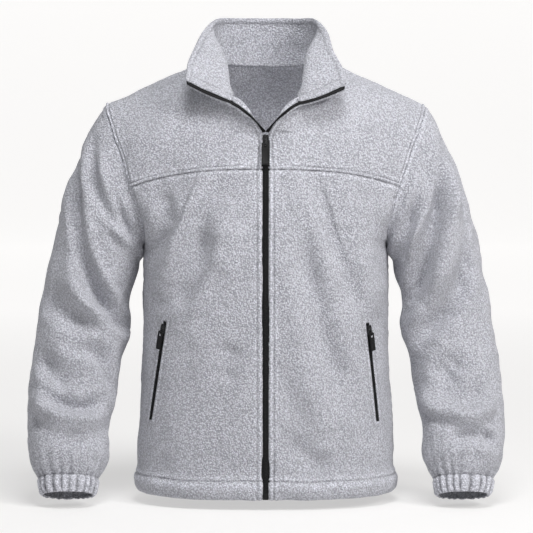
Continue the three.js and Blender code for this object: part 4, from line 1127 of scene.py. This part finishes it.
# %% Build the collar
collar_length = COLLAR_KNOTS[-1]
FLAP_RISE = 8
COLLAR_T = graded(collar_length, 1.4 * QUICK, 2.6 * QUICK, [(0, 18), (collar_length, 18)])
COLLAR_HIGH = 74
COLLAR_V = graded(COLLAR_HIGH, 1.3 * QUICK, 2.2 * QUICK, [(0, 6), (COLLAR_HIGH, 11)]) / COLLAR_HIGH
seam, middle, top = (smooth_through(COLLAR_FULL[:, k], COLLAR_KNOTS, COLLAR_T)[None] for k in range(3))
collar_base = bent_through(seam, middle, top, COLLAR_V[:, None, None])
normal = normals_of(collar_base)
soft = 0.7 * ripple(collar_base, 60, 61) + 0.3 * ripple(collar_base, 24, 63)
soft *= np.clip(edge_distances(collar_base)["low"] / 20, 0, 1)
collar_folded = collar_base + normal * soft[..., None]
collar_normal = normals_of(collar_folded)
distances = edge_distances(collar_folded)
STITCH_COLLAR = 7.5
roll = hill(distances["high"], 3, 3.4)
pucker = 1 + 0.3 * ripple(collar_folded, 9, 65)
stitch_line = hill(distances["high"], STITCH_COLLAR, 1.2) * pucker
ends = np.minimum(distances["left"], distances["right"])
# the flap on the wearer's right is worn a little higher than the other
raised = FLAP_RISE * np.clip(1 - distances["right"] / 120, 0, 1) ** 1.3 * COLLAR_V[:, None] ** 0.6
drawn_in = 6.5 * hill(collar_folded[..., 2], 14, 26) * COLLAR_V[:, None] * (collar_folded[..., 0] > 50)
collar_folded = collar_folded + np.stack([-drawn_in, 0 * raised, raised], -1)
stitch_line += hill(ends, STITCH_OPEN, 1.2) * pucker * (distances["high"] > STITCH_COLLAR - 1)
relief = 0.9 * roll - 0.5 * stitch_line - 1.2 * hill(distances["low"], 0, 1.6)
collar_outer = collar_folded + collar_normal * relief[..., None]
collar_thick = 3 + 2.2 * roll - 0.9 * stitch_line + 0.8 * hill(ends, 3, 3)
neck_line = {}
for side in ("left", "right"):
    edge = panels["yoke_" + side]["grid"][:, 0]
    rows = net_index(BODY_T[SPLIT:]) - SEAM_ROW - 4
    neck_line[side] = (np.interp(rows[rows >= 0], np.arange(10), COLLAR_KNOTS[:10]), edge[rows >= 0])
knots = [neck_line["left"][0]]
places = [neck_line["left"][1]]
inside = column_index[across_neck]
knots.append(np.interp(inside[1:-1] - 1, np.arange(19), COLLAR_KNOTS))
places.append(back_outer[-1][across_neck][1:-1])
knots.append(collar_length - neck_line["right"][0][::-1])
places.append(neck_line["right"][1][::-1])
knots, places = np.concatenate(knots), np.concatenate(places)
order = np.argsort(knots)
low_edge = read_at(COLLAR_T, knots[order], places[order])
collar_outer = pull_edge(collar_outer, "low", low_edge, 10)
# painted shade along the collar's stitch lines and its neck seam
add_panel("collar", collar_outer, collar_normal, collar_thick,
          np.clip(stitch_line + hill(distances["low"], 0, 1.8), 0, 1))


def declare(piece, body, node=None):
    """Hangs a piece on the empty of the body it rides on, and hides the model's node it stands for."""
    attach(piece, body)
    if node:
        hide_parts(node)


for name, panel in panels.items():
    piece = panel["piece"]
    part, line, side = name.partition("_")
    declare(piece, "jacket", name)

# %% [markdown]
# ## Stitches
# Topstitching holds the turned edges flat. One stitch is a short piece of thread that dips into
# the cloth at both ends. It is modelled once, as a small ball drawn out along the seam, and
# copied along every line of stitches, one stitch each 3.6 mm, as a sewing machine sets them.


# %% Helpers for small hard parts
def only_select(pieces):
    bpy.ops.object.select_all(action="DESELECT")
    for piece in pieces:
        piece.select_set(True)
    bpy.context.view_layer.objects.active = pieces[0]


def apply_modifier(piece, kind, **settings):
    only_select([piece])
    modifier = piece.modifiers.new(kind.lower(), kind)
    for key, value in settings.items():
        setattr(modifier, key, value)
    bpy.ops.object.modifier_apply(modifier=modifier.name)


def join_all(pieces, name):
    only_select(pieces)
    bpy.ops.object.join()
    joined = bpy.context.view_layer.objects.active
    joined.name = joined.data.name = name
    return joined


def block(size, middle, bevel=0.0, segments=2):
    """A cube of the given size in mm, still in mm, with rounded edges."""
    bpy.ops.mesh.primitive_cube_add(size=1)
    made = bpy.context.active_object
    made.scale = size
    made.location = middle
    bpy.ops.object.transform_apply(location=True, rotation=False, scale=True)
    if bevel:
        apply_modifier(made, "BEVEL", width=bevel, segments=segments, limit_method="ANGLE")
    return made


def shape_of(piece):
    """Points and faces of a template, which is then thrown away."""
    points = np.array([v.co[:] for v in piece.data.vertices])
    faces = [tuple(p.vertices) for p in piece.data.polygons]
    bpy.data.objects.remove(piece)
    return points, faces


def copy_to(shape, places, axes):
    """Points and faces of copies of a shape; axes has each copy's x, y and z direction."""
    points, faces = shape
    spread = np.einsum("pk,nkj->npj", points, axes) + places[:, None]
    step = len(points)
    all_faces = [tuple(i + n * step for i in face) for n in range(len(places)) for face in faces]
    return spread.reshape(-1, 3), all_faces


def frames_along(points, normals, pitch):
    """Places each pitch along a line, with directions along it, outwards and across."""
    knots = chords(points)
    at = np.arange(pitch / 2, knots[-1], pitch)
    along = unit(read_at(at + 1, knots, points) - read_at(at - 1, knots, points))
    out = square_to(unit(read_at(at, knots, normals)), along)
    return read_at(at, knots, points), np.stack([along, out, np.cross(along, out)], 1)


def line_beside(panel, edge, far_from):
    """The line on a panel that lies the given distance from one edge, and its normals."""
    grid, normal = panel["grid"], panel["normal"]
    far = edge_distances(grid)[edge]
    if edge in ("low", "high"):
        grid, normal, far = grid.swapaxes(0, 1), normal.swapaxes(0, 1), far.T
    wanted = np.broadcast_to(far_from, len(grid))
    points, out = [], []
    for line, way, distance, want in zip(grid, normal, far, wanted):
        order = slice(None) if distance[0] < distance[-1] else slice(None, None, -1)
        points.append(read_at(want, distance[order], line[order]))
        out.append(read_at(want, distance[order], way[order]))
    return np.array(points), np.array(out)


def part_of(line, keep):
    """The points of a line, and their normals, for which keep is true."""
    return line[0][keep], line[1][keep]


def armhole_line(panel, edge):
    line = line_beside(panel, edge, STITCH_ARM)
    return part_of(line, line[0][:, 2] > UNDERARM_Z + 4)


# %% The stitch, and every line of stitches
STITCH_LENGTH = 3.6
bpy.ops.mesh.primitive_uv_sphere_add(segments=6, ring_count=4, radius=1, rotation=(0, math.pi / 2, 0))
stitch_ball = bpy.context.active_object
stitch_ball.scale = (0.3, 0.3, 1.45)
bpy.ops.object.transform_apply(location=False, rotation=True, scale=True)
STITCH = shape_of(stitch_ball)


def stitches(name, lines):
    points, faces = [], []
    for line, out in lines:
        places, axes = frames_along(line, out, STITCH_LENGTH)
        made = copy_to(STITCH, places + axes[:, 1] * 0.12, axes)
        faces += [tuple(i + sum(len(p) for p in points) for i in face) for face in made[1]]
        points.append(made[0])
    declare(mesh_piece(name, np.concatenate(points), faces, THREAD), "jacket")
    return len(faces) // len(STITCH[1])


stitch_count = 0
row_index = net_index(BODY_T[SPLIT:]) - SEAM_ROW
open_share = np.clip((row_index - 1) / 2, 0, 1)
open_stitch = STITCH_ZIP + (STITCH_OPEN - STITCH_ZIP) * open_share
for side in ("left", "right"):
    front, yoke = panels["front_" + side], panels["yoke_" + side]
    lines = [line_beside(front, "low", HEM_LINE), line_beside(front, "left", STITCH_ZIP),
             armhole_line(front, "right")]
    stitch_count += stitches("front_" + side + "_stitches", lines)
    lines = [line_beside(yoke, "low", STITCH_YOKE), line_beside(yoke, "right", STITCH_ARM),
             part_of(line_beside(yoke, "left", open_stitch), row_index < 4)]
    stitch_count += stitches("yoke_" + side + "_stitches", lines)
    lines = [line_beside(panels["cuff_" + side], "high", STITCH_CUFF)]
    stitch_count += stitches("cuff_" + side + "_stitches", lines)
# the back has its hem and both armholes
lines = [line_beside(panels["back"], "low", HEM_LINE)]
lines += [armhole_line(panels["back"], edge) for edge in ("left", "right")]
stitch_count += stitches("back_stitches", lines)
collar = panels["collar"]
lines = [line_beside(collar, "high", STITCH_COLLAR)]
for edge in ("left", "right"):
    line = line_beside(collar, edge, STITCH_OPEN)
    lines.append(part_of(line, edge_distances(line[0][:, None])["high"][:, 0] > STITCH_COLLAR))
inner = {"grid": collar["grid"] - collar_normal * collar_thick[..., None], "normal": -collar_normal}
lines.append(line_beside(inner, "high", STITCH_COLLAR))
stitch_count += stitches("collar_stitches", lines)
print(stitch_count, "stitches so far")

# %% [markdown]
# ## The front zip
# A coil zip is a woven tape with a plastic coil sewn along its edge. When it is closed the two
# coils lie in each other. One tooth of the coil is modelled and copied: down the closed part
# the teeth alternate from left and right, and above the slider each half keeps its own.
# The open halves follow the front edges round the neck and up to the collar's corners, and
# their tapes are sewn between the two layers there.

# %% The tooth, and the closed part of the zip
TOOTH = shape_of(block((3.3, 1.3, 1.25), (0, 0, 0), 0.35, 1))
TAPE_LOW, TEETH_LOW, BOX_Z, SLIDER_Z = -684, -674, -680, -113
TAPE_BEHIND, TEETH_BEHIND, BOX_BEHIND = 0.8, 0.55, 0.7
tape_z = np.arange(TAPE_LOW, SLIDER_Z, 4.0)
tape_x = np.array([-5.9, -4.4, -3, -1.5, 0, 1.5, 3, 4.4, 5.9])
depth_at = body_depth(0.01, tape_z, -1)
tape = np.stack([np.broadcast_to(tape_x, (len(tape_z), 9)),
                 np.broadcast_to(TAPE_BEHIND - depth_at[:, None], (len(tape_z), 9)),
                 np.broadcast_to(tape_z[:, None], (len(tape_z), 9))], -1)
closed_tape = cloth_wall("closed_tape", tape, normals_of(tape), 0.9, TAPE)
tooth_z = np.arange(TEETH_LOW, SLIDER_Z, 1.0)
tooth_side = np.where(np.arange(len(tooth_z)) % 2, 1.3, -1.3)
tooth_y = TEETH_BEHIND - body_depth(0.01, tooth_z, -1)
places = np.stack([tooth_side, tooth_y, tooth_z], -1)
axes = np.broadcast_to(np.array([(1, 0, 0), (0, -1, 0), (0, 0, -1)], float), (len(places), 3, 3))
closed_teeth = mesh_piece("closed_teeth", *copy_to(TOOTH, places, axes), COIL)
bottom_y = float(body_depth(0.01, BOX_Z, -1)[0])
box = block((8.6, 2.8, 11.5), (0, BOX_BEHIND - bottom_y, BOX_Z), 0.6, 3)
box.data.transform(Matrix.Scale(MM, 4))
box.data.materials.append(TAB)
zip_chain = join_all([closed_tape, closed_teeth, box], "zip_chain_coil")
declare(zip_chain, "jacket", "zip_chain")
print("closed zip:", len(tooth_z), "teeth,", len(zip_chain.data.polygons), "faces")

# %% The open halves, up to the collar's corners
OUT_WAYS = unit(np.array([(-1, -0.05, 0), (-0.45, -0.85, -0.25), (0.3, -0.75, -0.6), (0.1, -0.6, -0.8),
                          (0.08, -0.55, -0.84), (0.1, -0.5, -0.86), (0.12, -0.48, -0.87),
                          (0.15, -0.45, -0.88)]))
half_at_line = np.arange(EDGE_KNOTS[1] + 1, EDGE_KNOTS[-1] - 1.5, 2.0)
half_line = smooth_through(EDGE_POINTS, EDGE_KNOTS, half_at_line)
half_out = unit(smooth_through(OUT_WAYS, EDGE_KNOTS[1:], half_at_line))
half_along = unit(np.gradient(half_line, axis=0))
half_out = square_to(half_out, half_along)
half_normal = np.cross(half_out, half_along)
to_end = EDGE_KNOTS[-1] - 1.5 - half_at_line
round_end = np.sqrt(np.clip(1 - (1 - to_end / 4.5) ** 2 * (to_end < 4.5), 0.12, 1))
across, welt = np.array([-0.4, 1.2, 2.8, 4.4, 5.9]), np.array([-0.4, 1.6, 3.6, 5.6, 7.1])
flap_share = np.clip((half_at_line - EDGE_KNOTS[4]) / (EDGE_KNOTS[-1] - EDGE_KNOTS[4]), 0, 1) ** 0.6
welt_share = round_end * np.clip((half_at_line - EDGE_KNOTS[1] - 14) / 22, 0.12, 1)
for side in ("left", "right"):
    mirror = np.array([1 if side == "left" else -1, 1, 1])
    strip = half_line[:, None] + half_out[:, None] * (across * round_end[:, None])[..., None]
    strip = strip + half_normal[:, None] * 1.6
    rise = np.zeros((len(half_line), 3))
    rise[:, 2] = FLAP_RISE * flap_share * (side == "right")
    strip, up = strip * mirror + rise[:, None], half_normal * mirror
    out = np.broadcast_to(up[:, None], strip.shape)
    half_tape = cloth_wall("half_tape", strip[:, ::-1], out, 1.1, TAPE, flip=side == "right")
    every = np.arange(1, len(half_line) - 3)
    places = half_line[every] + half_out[every] * 4.1 + half_normal[every] * 1.05 + rise[every]
    # above the slider the teeth are seen from their side, where the coil is as thick as wide;
    # close to it they stay flat, which leaves room for the tab when it is turned up
    above = half_at_line[every] - EDGE_KNOTS[1]
    thick = 1 + 1.5 * np.clip(1 - above / 60, 0, 1) ** 0.5 * np.clip((above - 11) / 7, 0, 1)
    axes = np.stack([half_out[every], half_normal[every] * thick[:, None], half_along[every]], 1)
    points, faces = copy_to(TOOTH, places, axes)
    if side == "right":
        points, faces = points * (-1, 1, 1), [face[::-1] for face in faces]
    half_teeth = mesh_piece("half_teeth", points, faces, COIL)
    # the outer layer of fleece goes on under the teeth, as a narrow welt
    under = half_line[:, None] + half_out[:, None] * (welt * welt_share[:, None])[..., None]
    under = (under + half_normal[:, None] * (0.1 - 0.1 * welt[:, None])) * mirror + rise[:, None]
    half_welt = cloth_wall("half_welt", under[:, ::-1], out, 1.5, FLEECE, flip=side == "right")
    half = join_all([half_tape, half_teeth, half_welt], "zip_edge_" + side + "_coil")
    declare(half, "jacket", "zip_edge_" + side)
    print("open half, " + side + ":", len(every), "teeth over", round(chords(half_line)[-1]), "mm")

# %% [markdown]
# ## Pocket zips
# Each pocket is a slit in the front with a narrow zip behind it. The cloth is turned in along
# the slit and stitched round in a rectangle. The zip is laid on the front by looking straight
# at it and reading where the cloth is, so it follows the curve of the side.


# %% Build the pocket zips and their stitches
def running_mean(values):
    """Each value averaged with the four before it and the four after it."""
    return np.convolve(np.pad(values, 4, mode="edge"), np.ones(9) / 9, "valid")


POCKET_TOOTH = shape_of(block((2.5, 1.1, 1.25), (0, 0, 0), 0.3, 1))
for side in ("left", "right"):
    cloth = panels["front_" + side]["piece"].data
    cloth_points = [v.co[:] for v in cloth.vertices]
    tree = BVHTree.FromPolygons(cloth_points, [p.vertices[:] for p in cloth.polygons])
    middle, along, half = pocket_frame(side)

    def on_front(down, beside):
        """A point of the front, in mm, that far along the pocket and beside it."""
        x, z = middle + along * down + np.array([along[1], -along[0]]) * beside / FRONT_TURN
        hit, way = tree.ray_cast(Vector((x * MM, -1, z * MM)), Vector((0, 1, 0)))[:2]
        return np.array(hit) / MM, np.array(way)

    steps = np.linspace(-half, half, 60)
    hits = [on_front(down, 0) for down in steps]
    line, out = np.array([h[0] for h in hits]), np.array([h[1] for h in hits])
    out = unit(np.stack([running_mean(out[:, k]) for k in range(3)], -1))
    line[4:-4, 1] = running_mean(line[:, 1])[4:-4]
    up = unit(np.gradient(line, axis=0))
    across_way = unit(np.cross(up, out))
    across_way = across_way * np.sign(across_way[:, :1])
    width = np.array([-2.6, -1.3, 0, 1.3, 2.6])
    strip = line[:, None] + across_way[:, None] * width[:, None] + out[:, None] * 1.3
    pocket_tape = cloth_wall("pocket_tape", strip, np.broadcast_to(out[:, None], strip.shape), 0.9, TAPE)
    places, axes = frames_along(line + out * 1.55, out, 1.1)
    axes = np.stack([np.cross(axes[:, 1], axes[:, 0]), axes[:, 1], axes[:, 0]], 1)
    places = places + axes[:, 0] * np.where(np.arange(len(places)) % 2, 0.95, -0.95)[:, None]
    pocket_teeth = mesh_piece("pocket_teeth", *copy_to(POCKET_TOOTH, places, axes), COIL)
    pocket_zip = join_all([pocket_tape, pocket_teeth], "pocket_zip_" + side + "_coil")
    declare(pocket_zip, "jacket", "pocket_zip_" + side)
    beside, beyond = POCKET_HALF + WELT_STITCH, half + 1 + WELT_STITCH
    corners = [(-beyond, -beside), (beyond, -beside), (beyond, beside), (-beyond, beside)]
    lines = []
    for start, end in zip(corners, corners[1:] + corners[:1]):
        count = max(6, round(math.dist(start, end) / 3))
        step = (np.array(end) - start) / count
        hits = [on_front(*(start + step * k)) for k in range(count + 1)]
        lines.append((np.array([h[0] for h in hits]), np.array([h[1] for h in hits])))
    stitch_count += stitches("pocket_" + side + "_stitches", lines)
    print("pocket zip, " + side + ":", len(places), "teeth")

# %% [markdown]
# ## Sliders and pull tabs
# A slider is a plate with two side walls that press the teeth together, and a bail, the small
# loop on its front that the tab hangs from. It is cast in metal and painted. The tab is moulded
# with a window for the bail and a shallow recess. Tab and slider are built lying at the hinge,
# with x along the hinge, y out of the cloth and z up the zip, and then set on the jacket.


# %% Shapes of the slider and the tab
HINGE_OUT = 4.6


def slider_shape(width, high, low_wall):
    plate = block((width, 1.5, high + 4.5), (0, 2.2, (high - 4.5) / 2))
    only_select([plate])
    bpy.ops.object.mode_set(mode="EDIT")
    bpy.ops.mesh.select_all(action="SELECT")
    bpy.ops.mesh.subdivide(number_cuts=3)
    bpy.ops.mesh.select_mode(type="VERT")
    # the plate is drawn in at its bottom end, and a little less at its top end
    for low, top, share in ((-5, -4.4, 0.72), (high - 0.1, high + 1, 0.8)):
        bpy.ops.mesh.select_all(action="DESELECT")
        bpy.ops.object.mode_set(mode="OBJECT")
        for vertex in plate.data.vertices:
            vertex.select = low < vertex.co.z < top
        bpy.ops.object.mode_set(mode="EDIT")
        bpy.ops.transform.resize(value=(share, 1, 1), center_override=(0, 2.2, 0))
    bpy.ops.object.mode_set(mode="OBJECT")
    apply_modifier(plate, "BEVEL", width=0.45, segments=3, limit_method="ANGLE")
    wall_high, wall_middle = 1.9 - low_wall, (1.9 + low_wall) / 2
    walls = [block((1.1, wall_high, high + 1.5), (x, wall_middle, (high - 4) / 2), 0.4, 2)
             for x in (-width / 2 + 0.6, width / 2 - 0.6)]
    foot = block((3.4, 0.8, 9), (0, 3.1, 1.2), 0.35, 2)
    bpy.ops.mesh.primitive_torus_add(major_radius=2.5, minor_radius=0.75, major_segments=28,
                                     minor_segments=10, location=(0, HINGE_OUT, 0.3),
                                     rotation=(0, math.pi / 2, 0))
    bail = bpy.context.active_object
    bpy.ops.object.transform_apply(location=True, rotation=True, scale=True)
    bail.scale = (1.6, 1, 1)
    bpy.ops.object.transform_apply(location=False, rotation=False, scale=True)
    return join_all([plate, *walls, foot, bail], "slider")


def tab_shape(width, length):
    high = length + 0.9
    tab = block((width, 1.8, high), (0, HINGE_OUT, 0.9 - high / 2))
    only_select([tab])
    bpy.ops.object.mode_set(mode="EDIT")
    bpy.ops.mesh.select_mode(type="EDGE")
    bpy.ops.mesh.select_all(action="DESELECT")
    bpy.ops.object.mode_set(mode="OBJECT")
    for edge in tab.data.edges:
        a, b = (tab.data.vertices[i].co for i in edge.vertices)
        edge.select = abs(a.y - b.y) > 1
    bpy.ops.object.mode_set(mode="EDIT")
    bpy.ops.mesh.bevel(offset=1.7, segments=5)
    bpy.ops.object.mode_set(mode="OBJECT")
    window = block((4.6, 8, 5.7), (0, HINGE_OUT, -3.75), 0.7, 3)
    recess = block((width - 3.2, 1, length - 12), (0, 5.7, -8.6 - (length - 12) / 2), 0.3, 2)
    for cutter in (window, recess):
        apply_modifier(tab, "BOOLEAN", operation="DIFFERENCE", object=cutter, solver="EXACT")
        bpy.data.objects.remove(cutter)
    apply_modifier(tab, "BEVEL", width=0.28, segments=2, limit_method="ANGLE", angle_limit=0.7)
    return tab


def stand_at(joint):
    """The matrix that takes a shape from its own hinge, in mm, to the jacket's, in metres."""
    node = frame["nodes"][joint["child"]]
    middle = sum((node.matrix_world @ v.co for v in node.data.vertices), Vector())
    middle /= len(node.data.vertices)
    hinge, x = Vector(joint["pos_m"]), Vector(joint["axis"]).normalized()
    z = hinge - middle
    z = (z - x * z.dot(x)).normalized()
    y = z.cross(x)
    made = Matrix.Identity(4)
    for column, way in enumerate((x * MM, y * MM, z * MM, hinge - y * HINGE_OUT * MM)):
        made.col[column][:3] = way
    return made


def set_on_zip(piece, name, material, body, node, place):
    piece.data.transform(place)
    piece.name = piece.data.name = name
    piece.data.materials.clear()
    piece.data.materials.append(material)
    only_select([piece])
    bpy.ops.object.shade_smooth_by_angle(angle=0.7)
    declare(piece, body, node)
    print(name, "has", len(piece.data.polygons), "faces")


# %% Set each slider and tab on its zip
# for each tab: its slider, the slider's width, height and where its walls start, and then
# the tab's own width and length
SLIDERS = {"main_pull": ("zip_slider", 9.6, 13.5, -1.0, 12.4, 34),
           "pocket_pull_left": ("pocket_slider_left", 6.4, 13, -1.5, 8.8, 28),
           "pocket_pull_right": ("pocket_slider_right", 6.4, 13, -1.5, 8.8, 28)}
for joint in frame["joints"]:
    node, width, high, low_wall, tab_width, tab_length = SLIDERS[joint["child"]]
    place = stand_at(joint)
    slider = slider_shape(width, high, low_wall)
    set_on_zip(slider, node + "_cast", METAL, "jacket", node, place)
    tab = tab_shape(tab_width, tab_length)
    set_on_zip(tab, joint["child"] + "_tab", TAB, joint["child"], joint["child"], place)

# %% Measure how far the pieces reach outside the model's box, and finish
visual_box = [list(corner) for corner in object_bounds()]
grown = [round((CAD_BOX[0][k] - visual_box[0][k]) * 1000, 1) for k in range(3)]
grown += [round((visual_box[1][k] - CAD_BOX[1][k]) * 1000, 1) for k in range(3)]
print("millimetres outside the model's box, low then high:", grown)
